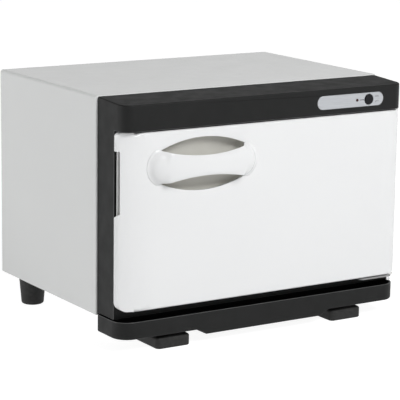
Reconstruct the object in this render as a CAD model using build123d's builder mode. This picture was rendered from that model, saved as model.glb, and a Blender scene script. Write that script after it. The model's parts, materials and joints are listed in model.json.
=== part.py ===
from build123d import *
import os

# Hot towel cabinet, all sizes in millimetres.
# X runs to the right of someone facing the door, Y runs away from them and Z is up.
# The origin is on the worktop, under the middle of the cabinet's overall box.

os.makedirs("parts", exist_ok=True)

# Outer case, one folded sheet of painted steel
case_width = 350.0
case_depth = 214.0
case_height = 225.8
case_sheet = 1.0
case_edge_radius = 3.0
front_hem_depth = 9.0
front_hem_sheet = 1.2
front_rim_radius = 1.6
bottom_flange = 16.0
rear_flange = 14.0
foot_height = 32.0

# Base and rear panels
panel_sheet = 1.0
base_upturn = 7.0
base_front_setback = 10.0
base_screw_shares = (0.185, 0.5, 0.722)
rear_margin = 4.0
rear_screw_inset = 10.0
rear_corner_radius = 5.0
vent_length = 34.0
vent_width = 3.0
vent_pitch = 7.0
vent_rows = 6
vent_columns = 2
vent_column_gap = 8.0

# Front frame with its header, one black moulding
wall = 2.5
top_reveal = 1.2
side_reveal = 1.8
frame_reach = 33.0
frame_lift = 2.5
header_height = 29.6
header_reach = 51.0
header_drop = 3.0
header_corner_radius = 12.0
header_edge_radius = 1.4
spigot_depth = 6.0
spigot_root = 4.0
spigot_wall = 2.2

# Heated chamber
chamber_side_room = 32.0
chamber_end_room = 15.7
chamber_back_room = 48.5
chamber_corner_radius = 14.0
liner_sheet = 0.8
liner_flange = 10.0
liner_back_radius = 6.0
liner_screw_rise = 45.0
liner_screw_spread = 90.0
insulation_thickness = 24.0
slab_setback = 12.0
slab_lift = 4.0
probe_window_half = 32.0
probe_window_below = 22.0
probe_window_above = 40.0
heater_thickness = 1.6
heater_margin = 30.0
heater_corner_radius = 8.0

# Thermostat, thermal fuse, terminal block and loom
thermostat_radius = 8.0
thermostat_depth = 7.0
thermostat_ear = 1.0
thermostat_ear_half_length = 16.0
thermostat_ear_width = 9.6
fuse_radius = 2.0
fuse_length = 14.0
fuse_above_thermostat = 24.0
fuse_lead_radius = 0.5
fuse_lead_length = 8.0
clamp_gap = 0.1
clamp_sheet = 0.8
clamp_width = 6.0
clamp_half_height = 9.0
terminal_rear_gap = 20.0
terminal_depth = 18.0
terminal_height = 15.0
terminal_half_width = 17.0
terminal_pitch = 10.0
terminal_row_gap = 9.0
terminal_hole_radius = 2.4
terminal_hole_depth = 6.0
terminal_corner_radius = 2.0
loom_radius = 2.5
loom_offset = 11.0
loom_bends = (8.0, 5.0)

# Door
door_gap = 2.0
door_thickness = 15.0
door_side_inset = 1.0
door_top_gap = 1.3
door_bottom_lift = 12.3
free_round_width = 40.0
free_round_depth = 13.5
hinge_round_width = 24.0
hinge_round_depth = 10.0
door_hinge_edge_radius = 5.0
door_top_corner_radius = 4.5
door_bottom_corner_radius = 10.0
door_edge_radius = 2.4
corner_overrun = 0.15
door_rib = 2.5
hinge_block_height = 16.0
hinge_stile_width = 17.0
stile_skin = 6.0
inner_panel_sheet = 1.5
post_radius = 3.5
post_hole_depth = 8.0
post_inset = 14.0
post_spread = 55.0
gasket_width = 6.5
gasket_cover = 6.0
gasket_cover_height = 5.0
gasket_corner_radius = 20.0
gasket_edge_radius = 0.7

# Magnetic catch
catch_inset = 8.0
catch_width = 8.0
catch_height = 30.0
catch_gap = 0.2
catch_proud = 1.2
catch_depth = 4.0
catch_ear = 3.0
strike_corner_radius = 1.5

# Finger notch in the free edge of the door
notch_depth = 6.5
notch_reach = 9.0
notch_bottom = 95.7
notch_height = 67.0
notch_slant = 4.0

# Handle
handle_inset = 94.5
handle_drop = 36.4
slot_half_length = 49.0
slot_tip_half_height = 17.3
slot_top_margin = 9.1
slot_end_bulge = 3.0
grip_half_length = 61.7
grip_rise = 13.0
grip_waist_half_height = 10.4
grip_thickness = 4.5
grip_end_fullness = 0.83
grip_mid_fullness = 0.53
cup_depth = 10.0
cup_wall = 1.5
cup_flange = 5.0
cup_ledge = 1.0
foam_relief = 1.5
foam_share = 0.8
cup_corner_radius = 5.0

# Hinge
hinge_inset = 8.0
hinge_behind_front = 8.5
pin_radius = 2.5
pin_head_radius = 3.0
pin_head_height = 1.5
pin_lead = 0.6
lower_pin_tail = 3.0
pin_clearance = 0.05
bush_wall = 1.2
bush_length = 12.0
bush_flange_radius = 5.5
bush_flange_thickness = 1.0
bracket_sheet = 2.0
lower_bracket_width = 44.0
upper_bracket_width = 34.0
bracket_overhang = 3.4
leaf_overhang = 5.5
lower_leaf_corner_radius = 6.0
upper_leaf_setback = 8.0
upper_leaf_corner_radius = 7.0
bracket_screw_inset = 7.0
lower_flange_height = 5.7
upper_screw_reach = 14.0
pin_hole_gap = 0.5

# Controls
plate_inset = 72.4
plate_length = 85.5
plate_width = 14.3
plate_thickness = 0.8
plate_recess = 0.5
plate_drop = 16.6
button_from_plate = 23.8
button_radius = 5.5
button_proud = 1.2
button_travel = 2.5
button_gap = 0.3
button_length = 9.6
button_edge_radius = 0.8
neck_wall = 1.0
neck_gap = 0.1
nut_thickness = 3.0
nut_land = 2.4
switch_size = 16.0
switch_depth = 18.0
switch_setback = 1.0
stem_radius = 2.0
stem_length = 4.0
lens_from_plate = 8.4
lens_radius = 1.5
lens_proud = 0.8
lens_edge_radius = 0.6
lens_collar_width = 1.2
lens_collar_thickness = 1.5
lamp_size = 6.0
lamp_depth = 10.5
lamp_lead_spread = 1.3
lamp_lead_radius = 0.4
lamp_lead_length = 6.0
tab_spread = 4.0
tab_thickness = 0.8
tab_width = 4.8
tab_length = 7.0

# Drip tray, its runners and their guides
tray_gap = 0.9
tray_end_height = 18.1
tray_centre_height = 24.1
tray_front_reach = 50.0
tray_back_gap = 2.0
tray_wall = 2.0
tray_front_radius = 18.0
tray_back_radius = 3.0
tray_end_width = 103.1
tray_slope_width = 11.7
tray_edge_radius = 2.0
runner_from_foot = 54.0
runner_width = 12.0
runner_thickness = 3.0
runner_length = 80.0
runner_drop = 9.0
guide_clearance = 0.5
guide_wall = 3.0
guide_length = 70.0
guide_setback = 6.0
guide_slot = 6.0
guide_flange = 10.0
guide_screw_shares = (0.2, 0.8)

# Feet
front_foot_inset = 66.0
front_foot_width = 40.0
front_foot_depth = 40.0
front_foot_setback = 1.0
front_foot_screw_setbacks = (18.0, 32.0)
toe_reach = 46.0
toe_height = 12.0
toe_radius = 5.0
toe_edge_radius = 2.5
foot_edge_radius = 1.5
rear_foot_edge_radius = 2.5
rear_foot_side_inset = 21.5
rear_foot_rear_inset = 32.0
rear_foot_top_radius = 15.0
rear_foot_bottom_radius = 12.2
foot_bore_radius = 5.0
foot_seat_thickness = 8.0

# Screws
screw_radius = 1.4
screw_head_radius = 2.8
screw_head_height = 1.5
foot_screw_radius = 2.0
foot_screw_head_radius = 4.0
foot_screw_head_height = 2.4
foot_screw_bite = 3.0
sheet_screw_length = 6.0
guide_screw_bite = 3.0
door_screw_bite = 7.0
cross_share = 0.6
blind_skin = 0.8
tip_gap = 0.1
thread_clearance = 0.05
hole_clearance = 0.3

# Length of a curve's handles, as a share of the radius, that makes a quarter of an ellipse
arc_handle = 0.5523

# General clearances
fit_gap = 0.3
slip_gap = 0.2

# Gland in the rear panel where a mains lead would enter
gland_inset = 55.0
gland_height = 30.0
gland_bore_radius = 3.5
gland_neck_radius = 6.0
gland_flange_radius = 9.5
gland_proud = 4.0
gland_inner_length = 5.0
gland_edge_radius = 1.5

# Wire rack in the chamber
rack_wire_radius = 1.5
rack_side_gap = 5.0
rack_lift = 6.0
rack_front_setback = 8.0
rack_back_gap = 6.0
rack_wires = 13
rack_corner_radius = 12.0
rack_leg_inset = 23.0
rack_wire_overlap = 0.6

# Worked-out levels and planes
half_width = case_width / 2
case_bottom = foot_height
case_top = case_bottom + case_height
door_reach = frame_reach + door_gap + door_thickness
overall_depth = door_reach + grip_rise + case_depth + panel_sheet + gland_proud
front_y = -overall_depth / 2 + door_reach + grip_rise
back_y = front_y + case_depth
inner_half_width = half_width - case_sheet
inner_top = case_top - case_sheet
base_bottom = case_bottom + case_sheet
base_top = base_bottom + panel_sheet

frame_bottom = case_bottom + frame_lift
frame_front_y = front_y - frame_reach
frame_half_width = half_width - side_reveal
header_top = case_top - top_reveal
header_bottom = header_top - header_height
header_floor_top = header_bottom + wall
header_front_y = front_y - header_reach
control_z = header_top - plate_drop
plate_x = half_width - plate_inset
button_x = plate_x + button_from_plate
lens_x = plate_x + lens_from_plate
recess_floor_y = header_front_y + plate_recess
header_wall_back_y = header_front_y + wall

door_back_y = frame_front_y - door_gap
door_front_y = door_back_y - door_thickness
door_half_width = half_width - door_side_inset
door_bottom = case_bottom + door_bottom_lift
door_top = header_bottom - door_top_gap
door_mid_z = (door_bottom + door_top) / 2
hinge_x = half_width - hinge_inset
hinge_y = door_front_y + hinge_behind_front
stile_x = door_half_width - hinge_stile_width
bush_radius = pin_radius + pin_clearance + bush_wall

chamber_width = case_width - 2 * chamber_side_room
chamber_height = door_top - door_bottom - 2 * chamber_end_room
chamber_depth = case_depth + frame_reach - wall - chamber_back_room
chamber_bottom = door_mid_z - chamber_height / 2
chamber_top = door_mid_z + chamber_height / 2
liner_front_y = frame_front_y + wall
liner_back_y = liner_front_y + chamber_depth
liner_half_width = chamber_width / 2 + liner_sheet
liner_bottom = chamber_bottom - liner_sheet
liner_top = chamber_top + liner_sheet

handle_x = -door_half_width + handle_inset
handle_z = door_top - handle_drop
slot_half_height = handle_drop - slot_top_margin
tray_top = frame_bottom - tray_gap
tray_end_bottom = tray_top - tray_end_height
tray_centre_bottom = tray_top - tray_centre_height
tray_low_half = half_width - tray_end_width
tray_high_half = tray_low_half + tray_slope_width
tray_back_y = front_y - tray_back_gap
tray_front_y = front_y - tray_front_reach
front_foot_x = half_width - front_foot_inset
rear_foot_x = half_width - rear_foot_side_inset
rear_foot_y = back_y - rear_foot_rear_inset
runner_x = front_foot_x - runner_from_foot
runner_top = tray_top - runner_drop + runner_thickness
gland_x = half_width - gland_inset


def facing_front(y):
    """Plane whose sketch reads as X and Z, and whose extrusions run forwards, along -Y."""
    return Plane(origin=(0, y, 0), x_dir=(1, 0, 0), z_dir=(0, -1, 0))


def area(low, high, mode=Mode.ADD):
    """Rectangle between two corners of a sketch."""
    with Locations(((low[0] + high[0]) / 2, (low[1] + high[1]) / 2)):
        Rectangle(high[0] - low[0], high[1] - low[1], mode=mode)


def block(low, high, mode=Mode.ADD):
    """Box between two corners."""
    centre = [(a + b) / 2 for a, b in zip(low, high)]
    with Locations(tuple(centre)):
        Box(high[0] - low[0], high[1] - low[1], high[2] - low[2], mode=mode)


def drill(plane, points, radius, depth):
    """Round holes cut from a plane, depth along its normal."""
    with BuildSketch(plane) as holes:
        with Locations(*points):
            Circle(radius)
    extrude(holes.sketch, amount=depth, mode=Mode.SUBTRACT)


def tab_pair(x, y, z):
    """Two flat terminal tabs standing out of a switch or thermostat towards the rear."""
    for side in (-1, 1):
        tab_x = x + side * tab_spread
        block(
            (tab_x - tab_thickness / 2, y, z - tab_width / 2),
            (tab_x + tab_thickness / 2, y + tab_length, z + tab_width / 2),
        )


def screw_bodies(plane, side, points, shank, length, head, height=screw_head_height):
    """Cross-head screws seated on a plane, with their heads on the given side of it."""
    with BuildSketch(plane) as heads:
        with Locations(*points):
            Circle(head)
    extrude(heads.sketch, amount=side * height)
    with BuildSketch(plane) as shanks:
        with Locations(*points):
            Circle(shank)
    extrude(shanks.sketch, amount=-side * length)
    with BuildSketch(plane.offset(side * height)) as crosses:
        with Locations(*points):
            Rectangle(head, head / 4)
            Rectangle(head / 4, head)
    extrude(crosses.sketch, amount=-side * height * cross_share, mode=Mode.SUBTRACT)


# Outer case: top and sides from one sheet, with a rolled front edge and rear flanges

case_mid_z = (case_bottom + case_top) / 2
rear_screw_x = half_width - rear_screw_inset
rear_screw_z = case_height / 2 - rear_screw_inset
rear_screw_points = [
    (column * rear_screw_x, case_mid_z + row * rear_screw_z)
    for column in (-1, 0, 1)
    for row in (-1, 0, 1)
    if column != 0 or row != 0
]
base_screw_points = [
    (side * (half_width - bottom_flange / 2), front_y + share * case_depth)
    for side in (-1, 1)
    for share in base_screw_shares
]

with BuildPart() as outer_case:
    with BuildSketch(facing_front(back_y)):
        area((-half_width, case_bottom), (half_width, case_top))
        fillet(vertices().group_by(Axis.Y)[-1], case_edge_radius)
        area((-inner_half_width, base_bottom), (inner_half_width, inner_top), Mode.SUBTRACT)
        area(
            (-half_width + bottom_flange, case_bottom),
            (half_width - bottom_flange, base_bottom),
            Mode.SUBTRACT,
        )
    extrude(amount=case_depth)
    with BuildSketch(facing_front(front_y + front_hem_depth)):
        area((-inner_half_width, base_bottom), (inner_half_width, inner_top))
        area(
            (-inner_half_width + front_hem_sheet, base_bottom),
            (inner_half_width - front_hem_sheet, inner_top - front_hem_sheet),
            Mode.SUBTRACT,
        )
    extrude(amount=front_hem_depth)
    with BuildSketch(facing_front(back_y)):
        area((-inner_half_width, base_bottom), (inner_half_width, inner_top))
        area(
            (-inner_half_width + rear_flange, base_bottom + rear_flange),
            (inner_half_width - rear_flange, inner_top - rear_flange),
            Mode.SUBTRACT,
        )
    extrude(amount=case_sheet)
    front_edges = outer_case.edges().filter_by_position(Axis.Y, front_y - 0.01, front_y + 0.01)
    rim = front_edges.filter_by(
        lambda e: e.center().Z > inner_top - front_hem_sheet / 2
        or (abs(e.center().X) > inner_half_width - front_hem_sheet / 2 and e.length > bottom_flange)
    )
    fillet(rim, front_rim_radius)
    drill(facing_front(back_y), rear_screw_points, screw_radius + thread_clearance, case_sheet)
    drill(Plane.XY.offset(case_bottom), base_screw_points, screw_radius + hole_clearance, case_sheet)
outer_case.part.label = "outer_case"
export_step(outer_case.part, "parts/outer_case.step")

# Base panel: a shallow folded tray lying on the case's bottom flanges

foot_front_y = front_y + front_foot_setback
front_foot_screws_y = [foot_front_y + setback for setback in front_foot_screw_setbacks]
front_foot_screw_points = [(side * front_foot_x, y) for side in (-1, 1) for y in front_foot_screws_y]
rear_foot_screw_points = [(side * rear_foot_x, rear_foot_y) for side in (-1, 1)]
guide_screw_x = runner_x + runner_width / 2 + guide_clearance + guide_wall + guide_flange / 2
guide_screw_points = [
    (side * guide_screw_x, front_y + guide_setback + guide_length * share)
    for side in (-1, 1)
    for share in guide_screw_shares
]
base_front_y = front_y + base_front_setback
base_back_y = back_y - case_sheet - fit_gap
base_half_width = inner_half_width - slip_gap

with BuildPart() as base_panel:
    block(
        (-base_half_width, base_front_y, base_bottom),
        (base_half_width, base_back_y, base_bottom + base_upturn),
    )
    block(
        (-base_half_width + panel_sheet, base_front_y + panel_sheet, base_top),
        (base_half_width - panel_sheet, base_back_y - panel_sheet, base_bottom + base_upturn),
        Mode.SUBTRACT,
    )
    drill(
        Plane.XY.offset(base_bottom),
        base_screw_points + guide_screw_points,
        screw_radius + thread_clearance,
        panel_sheet,
    )
    drill(
        Plane.XY.offset(base_bottom),
        front_foot_screw_points + rear_foot_screw_points,
        foot_screw_radius + thread_clearance,
        panel_sheet,
    )
base_panel.part.label = "base_panel"
export_step(base_panel.part, "parts/base_panel.step")

# Rear panel: a flat sheet with two banks of vents, screwed over the rear flanges

rear_outer_y = back_y + panel_sheet
gland_z = case_bottom + gland_height
vent_x = [side * (half_width / 2) for side in (-1, 1)]
vent_z = case_top - rear_margin - rear_flange - vent_pitch * vent_rows

with BuildPart() as rear_panel:
    with BuildSketch(facing_front(rear_outer_y)):
        area(
            (-half_width + rear_margin, case_bottom + rear_margin),
            (half_width - rear_margin, case_top - rear_margin),
        )
        fillet(vertices(), rear_corner_radius)
        for x in vent_x:
            with Locations((x, vent_z + vent_pitch * vent_rows / 2)):
                with GridLocations(vent_length + vent_column_gap, vent_pitch, vent_columns, vent_rows):
                    SlotOverall(vent_length, vent_width, mode=Mode.SUBTRACT)
        with Locations((gland_x, gland_z)):
            Circle(gland_neck_radius + thread_clearance, mode=Mode.SUBTRACT)
        with Locations(*rear_screw_points):
            Circle(screw_radius + hole_clearance, mode=Mode.SUBTRACT)
    extrude(amount=panel_sheet)
rear_panel.part.label = "rear_panel"
export_step(rear_panel.part, "parts/rear_panel.step")

# Front frame: the ring behind the door and the header above it, in one hollow moulding

bracket_right = hinge_x + bracket_overhang
lower_bracket_left = bracket_right - lower_bracket_width
upper_bracket_left = bracket_right - upper_bracket_width
leaf_top = door_bottom - bush_flange_thickness - fit_gap
leaf_bottom = leaf_top - bracket_sheet
lower_screw_points = [
    (x, leaf_top + lower_flange_height / 2)
    for x in (lower_bracket_left + bracket_screw_inset, bracket_right - bracket_screw_inset)
]
upper_screw_points = [
    (x, front_y - upper_screw_reach)
    for x in (upper_bracket_left + bracket_screw_inset, bracket_right - bracket_screw_inset)
]
liner_screw_x = liner_half_width + liner_flange / 2
liner_screw_z = chamber_height / 2 + liner_sheet + liner_flange / 2
liner_screw_points = [
    (side * liner_screw_x, door_mid_z + row * liner_screw_rise) for side in (-1, 1) for row in (-1, 1)
]
liner_screw_points += [
    (column * liner_screw_spread, door_mid_z + side * liner_screw_z) for side in (-1, 1) for column in (-1, 1)
]
liner_screw_bite = wall - blind_skin
catch_x = -door_half_width + catch_inset
spigot_half = inner_half_width - front_hem_sheet - fit_gap
spigot_top = inner_top - front_hem_sheet - fit_gap
neck_radius = button_radius + button_gap + neck_wall

with BuildPart() as front_frame:
    with BuildSketch(Plane.YZ):
        with BuildLine():
            Polyline(
                (front_y, header_bottom),
                (front_y, header_top),
                (header_front_y, header_top - header_drop),
                (header_front_y, header_bottom),
                close=True,
            )
        make_face()
    extrude(amount=frame_half_width, both=True)
    fillet(
        edges().filter_by(Axis.Z).group_by(Axis.Y)[0],
        header_corner_radius,
    )
    top_edges = faces().sort_by(Axis.Z)[-1].edges().filter_by(lambda e: e.center().Y < front_y - 1)
    fillet(top_edges, header_edge_radius)
    block((-frame_half_width, frame_front_y, frame_bottom), (frame_half_width, front_y, header_bottom))
    block(
        (-frame_half_width + wall, frame_front_y + wall, frame_bottom + wall),
        (frame_half_width - wall, front_y, header_bottom),
        Mode.SUBTRACT,
    )
    with BuildSketch(Plane.XY.offset(header_floor_top)):
        area((-frame_half_width + wall, header_wall_back_y), (frame_half_width - wall, front_y))
        fillet(vertices().group_by(Axis.Y)[0], header_corner_radius - wall)
    extrude(amount=header_height - 2 * wall - header_drop, mode=Mode.SUBTRACT)
    with BuildSketch(facing_front(front_y)):
        with Locations((0, door_mid_z)):
            RectangleRounded(chamber_width, chamber_height, chamber_corner_radius)
    extrude(amount=frame_reach, mode=Mode.SUBTRACT)
    with BuildSketch(facing_front(front_y + spigot_depth)):
        area((-spigot_half, frame_bottom), (spigot_half, spigot_top))
        area(
            (-spigot_half + spigot_wall, frame_bottom + spigot_wall),
            (spigot_half - spigot_wall, spigot_top - spigot_wall),
            Mode.SUBTRACT,
        )
    extrude(amount=spigot_depth + spigot_root)
    with BuildSketch(facing_front(recess_floor_y)):
        with Locations((plate_x, control_z)):
            SlotOverall(plate_length + 2 * slip_gap, plate_width + 2 * slip_gap)
    extrude(amount=plate_recess, mode=Mode.SUBTRACT)
    drill(facing_front(header_wall_back_y), [(button_x, control_z)], neck_radius + slip_gap, wall)
    drill(facing_front(header_wall_back_y), [(lens_x, control_z)], lens_radius + thread_clearance, wall)
    drill(Plane.XY.offset(header_bottom), [(hinge_x, hinge_y)], pin_radius + pin_hole_gap, wall)
    drill(Plane.XY.offset(header_bottom), upper_screw_points, screw_radius + thread_clearance, wall)
    drill(
        facing_front(liner_front_y),
        lower_screw_points,
        screw_radius + thread_clearance,
        wall - blind_skin,
    )
    block(
        (lower_bracket_left - slip_gap, frame_front_y, leaf_bottom - slip_gap),
        (bracket_right + slip_gap, liner_front_y, leaf_top + slip_gap),
        Mode.SUBTRACT,
    )
    drill(
        facing_front(liner_front_y),
        liner_screw_points,
        screw_radius + thread_clearance,
        liner_screw_bite,
    )
    with BuildSketch(facing_front(frame_front_y + wall)):
        with Locations((catch_x, door_mid_z)):
            Rectangle(catch_width + 2 * catch_gap, catch_height + 2 * catch_gap)
    extrude(amount=wall, mode=Mode.SUBTRACT)
front_frame.part.label = "front_frame"
export_step(front_frame.part, "parts/front_frame.step")

# Control plate: a thin pill-shaped metal plate let into the header

with BuildPart() as control_plate:
    with BuildSketch(facing_front(recess_floor_y)):
        with Locations((plate_x, control_z)):
            SlotOverall(plate_length, plate_width)
        with Locations((button_x, control_z)):
            Circle(button_radius + button_gap, mode=Mode.SUBTRACT)
        with Locations((lens_x, control_z)):
            Circle(lens_radius + thread_clearance, mode=Mode.SUBTRACT)
    extrude(amount=plate_thickness)
control_plate.part.label = "control_plate"
export_step(control_plate.part, "parts/control_plate.step")

# Push switch behind the plate: body, threaded neck, nut and travelling button

plate_front_y = recess_floor_y - plate_thickness
nut_back_y = header_wall_back_y + nut_thickness
switch_front_y = nut_back_y + switch_setback
switch_back_y = switch_front_y + switch_depth
button_back_y = plate_front_y - button_proud + button_length

with BuildPart() as switch_body:
    block(
        (button_x - switch_size / 2, switch_front_y, control_z - switch_size / 2),
        (button_x + switch_size / 2, switch_back_y, control_z + switch_size / 2),
    )
    with BuildSketch(facing_front(switch_front_y)):
        with Locations((button_x, control_z)):
            Circle(neck_radius)
    extrude(amount=switch_front_y - recess_floor_y - neck_gap)
    drill(
        facing_front(button_back_y + button_travel + fit_gap),
        [(button_x, control_z)],
        button_radius + button_gap,
        button_length + button_travel,
    )
    drill(
        facing_front(button_back_y + stem_length + button_travel + fit_gap),
        [(button_x, control_z)],
        stem_radius + button_gap,
        button_length,
    )
    tab_pair(button_x, switch_back_y, control_z)
switch_body.part.label = "switch_body"
export_step(switch_body.part, "parts/switch_body.step")

with BuildPart() as switch_nut:
    with BuildSketch(facing_front(nut_back_y)):
        with Locations((button_x, control_z)):
            RegularPolygon(neck_radius + nut_land, 6)
            Circle(neck_radius + thread_clearance, mode=Mode.SUBTRACT)
    extrude(amount=nut_thickness)
switch_nut.part.label = "switch_nut"
export_step(switch_nut.part, "parts/switch_nut.step")

with BuildPart() as button_cap:
    with BuildSketch(facing_front(button_back_y)):
        with Locations((button_x, control_z)):
            Circle(button_radius)
    extrude(amount=button_length)
    fillet(edges().group_by(Axis.Y)[0], button_edge_radius)
    with BuildSketch(facing_front(button_back_y + stem_length)):
        with Locations((button_x, control_z)):
            Circle(stem_radius)
    extrude(amount=stem_length)
button_cap.part.label = "button_cap"
export_step(button_cap.part, "parts/button_cap.step")

# Pilot light: a small lens with a collar, and the lamp behind it

lamp_front_y = header_wall_back_y + lens_collar_thickness
lamp_back_y = lamp_front_y + lamp_depth

with BuildPart() as pilot_lens:
    with BuildSketch(facing_front(header_wall_back_y)):
        with Locations((lens_x, control_z)):
            Circle(lens_radius)
    extrude(amount=header_wall_back_y - plate_front_y + lens_proud)
    fillet(edges().group_by(Axis.Y)[0], lens_edge_radius)
    with BuildSketch(facing_front(lamp_front_y)):
        with Locations((lens_x, control_z)):
            Circle(lens_radius + lens_collar_width)
    extrude(amount=lens_collar_thickness)
pilot_lens.part.label = "pilot_lens"
export_step(pilot_lens.part, "parts/pilot_lens.step")

with BuildPart() as pilot_lamp:
    with BuildSketch(facing_front(lamp_back_y)):
        with Locations((lens_x, control_z)):
            RectangleRounded(lamp_size, lamp_size, lamp_size / 6)
    extrude(amount=lamp_depth)
    with BuildSketch(facing_front(lamp_back_y)):
        with Locations((lens_x - lamp_lead_spread, control_z), (lens_x + lamp_lead_spread, control_z)):
            Circle(lamp_lead_radius)
    extrude(amount=-lamp_lead_length)
pilot_lamp.part.label = "pilot_lamp"
export_step(pilot_lamp.part, "parts/pilot_lamp.step")

# Chamber liner: a deep-drawn aluminium box, open to the front, with a flange behind the frame

with BuildPart() as chamber_space:
    with BuildSketch(facing_front(liner_back_y)):
        with Locations((0, door_mid_z)):
            RectangleRounded(chamber_width, chamber_height, chamber_corner_radius)
    extrude(amount=chamber_depth)
    fillet(edges().group_by(Axis.Y)[-1], liner_back_radius)

with BuildPart() as chamber_liner:
    with BuildSketch(facing_front(liner_back_y + liner_sheet)):
        with Locations((0, door_mid_z)):
            RectangleRounded(
                chamber_width + 2 * liner_sheet,
                chamber_height + 2 * liner_sheet,
                chamber_corner_radius + liner_sheet,
            )
    extrude(amount=chamber_depth + liner_sheet)
    fillet(edges().group_by(Axis.Y)[-1], liner_back_radius + liner_sheet)
    with BuildSketch(facing_front(liner_front_y + liner_sheet)):
        with Locations((0, door_mid_z)):
            RectangleRounded(
                chamber_width + 2 * liner_sheet + 2 * liner_flange,
                chamber_height + 2 * liner_sheet + 2 * liner_flange,
                chamber_corner_radius,
            )
    extrude(amount=liner_sheet)
    drill(
        facing_front(liner_front_y + liner_sheet),
        liner_screw_points,
        screw_radius + hole_clearance,
        liner_sheet,
    )
    add(chamber_space.part, mode=Mode.SUBTRACT)
chamber_liner.part.label = "chamber_liner"
export_step(chamber_liner.part, "parts/chamber_liner.step")

# Insulation: mineral-wool slabs round the liner, and the heating mat under it

slab_front_y = front_y + slab_setback
slab_back_y = liner_back_y + liner_sheet
slab_inner_x = liner_half_width + fit_gap
slab_outer_x = slab_inner_x + insulation_thickness
heater_bottom = liner_bottom - heater_thickness
slab_rest = base_top + slab_lift
insulation_top_z = liner_top + fit_gap + insulation_thickness

for side, name in ((-1, "insulation_left"), (1, "insulation_right")):
    with BuildPart() as insulation_side:
        block(
            (min(side * slab_inner_x, side * slab_outer_x), slab_front_y, liner_bottom),
            (max(side * slab_inner_x, side * slab_outer_x), slab_back_y, liner_top),
        )
    insulation_side.part.label = name
    export_step(insulation_side.part, f"parts/{name}.step")

with BuildPart() as insulation_top:
    block((-slab_outer_x, slab_front_y, liner_top + fit_gap), (slab_outer_x, slab_back_y, insulation_top_z))
insulation_top.part.label = "insulation_top"
export_step(insulation_top.part, "parts/insulation_top.step")

with BuildPart() as insulation_bottom:
    block((-slab_outer_x, slab_front_y, slab_rest), (slab_outer_x, slab_back_y, heater_bottom - fit_gap))
insulation_bottom.part.label = "insulation_bottom"
export_step(insulation_bottom.part, "parts/insulation_bottom.step")

with BuildPart() as insulation_back:
    block(
        (-slab_outer_x, slab_back_y + fit_gap, liner_bottom),
        (slab_outer_x, slab_back_y + fit_gap + insulation_thickness, liner_top),
    )
    block(
        (-probe_window_half, slab_back_y + fit_gap, door_mid_z - probe_window_below),
        (
            probe_window_half,
            slab_back_y + fit_gap + insulation_thickness,
            door_mid_z + probe_window_above,
        ),
        Mode.SUBTRACT,
    )
insulation_back.part.label = "insulation_back"
export_step(insulation_back.part, "parts/insulation_back.step")

with BuildPart() as heater_mat:
    block(
        (-liner_half_width + heater_margin, slab_front_y + heater_margin, heater_bottom),
        (liner_half_width - heater_margin, slab_back_y - heater_margin, liner_bottom),
    )
    fillet(edges().filter_by(Axis.Z), heater_corner_radius)
heater_mat.part.label = "heater_mat"
export_step(heater_mat.part, "parts/heater_mat.step")

# Thermostat, thermal fuse and its clamp on the liner's back wall

fuse_z = door_mid_z + fuse_above_thermostat
fuse_y = slab_back_y + fuse_radius + clamp_gap
clamp_radius = fuse_radius + clamp_gap

with BuildPart() as thermostat:
    with BuildSketch(facing_front(slab_back_y)):
        with Locations((0, door_mid_z)):
            SlotOverall(2 * thermostat_ear_half_length, thermostat_ear_width)
    extrude(amount=-thermostat_ear)
    with BuildSketch(facing_front(slab_back_y)):
        with Locations((0, door_mid_z)):
            Circle(thermostat_radius)
    extrude(amount=-(thermostat_ear + thermostat_depth))
    tab_pair(0, slab_back_y + thermostat_ear + thermostat_depth, door_mid_z)
thermostat.part.label = "thermostat"
export_step(thermostat.part, "parts/thermostat.step")

with BuildPart() as thermal_fuse:
    with BuildSketch(Plane.YZ.offset(-fuse_length / 2)):
        with Locations((fuse_y, fuse_z)):
            Circle(fuse_radius)
    extrude(amount=fuse_length)
    with BuildSketch(Plane.YZ.offset(-fuse_length / 2 - fuse_lead_length)):
        with Locations((fuse_y, fuse_z)):
            Circle(fuse_lead_radius)
    extrude(amount=fuse_length + 2 * fuse_lead_length)
thermal_fuse.part.label = "thermal_fuse"
export_step(thermal_fuse.part, "parts/thermal_fuse.step")

with BuildPart() as fuse_clamp:
    with BuildSketch(Plane.YZ.offset(-clamp_width / 2)):
        area(
            (slab_back_y, fuse_z - clamp_half_height),
            (slab_back_y + clamp_sheet, fuse_z + clamp_half_height),
        )
        area(
            (slab_back_y, fuse_z - clamp_radius - clamp_sheet),
            (fuse_y, fuse_z + clamp_radius + clamp_sheet),
        )
        with Locations((fuse_y, fuse_z)):
            Circle(clamp_radius + clamp_sheet)
            Circle(clamp_radius, mode=Mode.SUBTRACT)
        area((slab_back_y, fuse_z - clamp_radius), (fuse_y, fuse_z + clamp_radius), Mode.SUBTRACT)
        area(
            (slab_back_y - clamp_half_height, fuse_z - clamp_half_height),
            (slab_back_y, fuse_z + clamp_half_height),
            Mode.SUBTRACT,
        )
    extrude(amount=clamp_width)
fuse_clamp.part.label = "fuse_clamp"
export_step(fuse_clamp.part, "parts/fuse_clamp.step")

# Terminal block on the base, and the sleeved loom from the switch to it

terminal_back_y = back_y - terminal_rear_gap
terminal_front_y = terminal_back_y - terminal_depth
loom_z = insulation_top_z + fit_gap + loom_radius
loom_drop_y = slab_back_y + fit_gap + insulation_thickness + loom_offset
loom_low_z = base_top + terminal_height / 2

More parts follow.
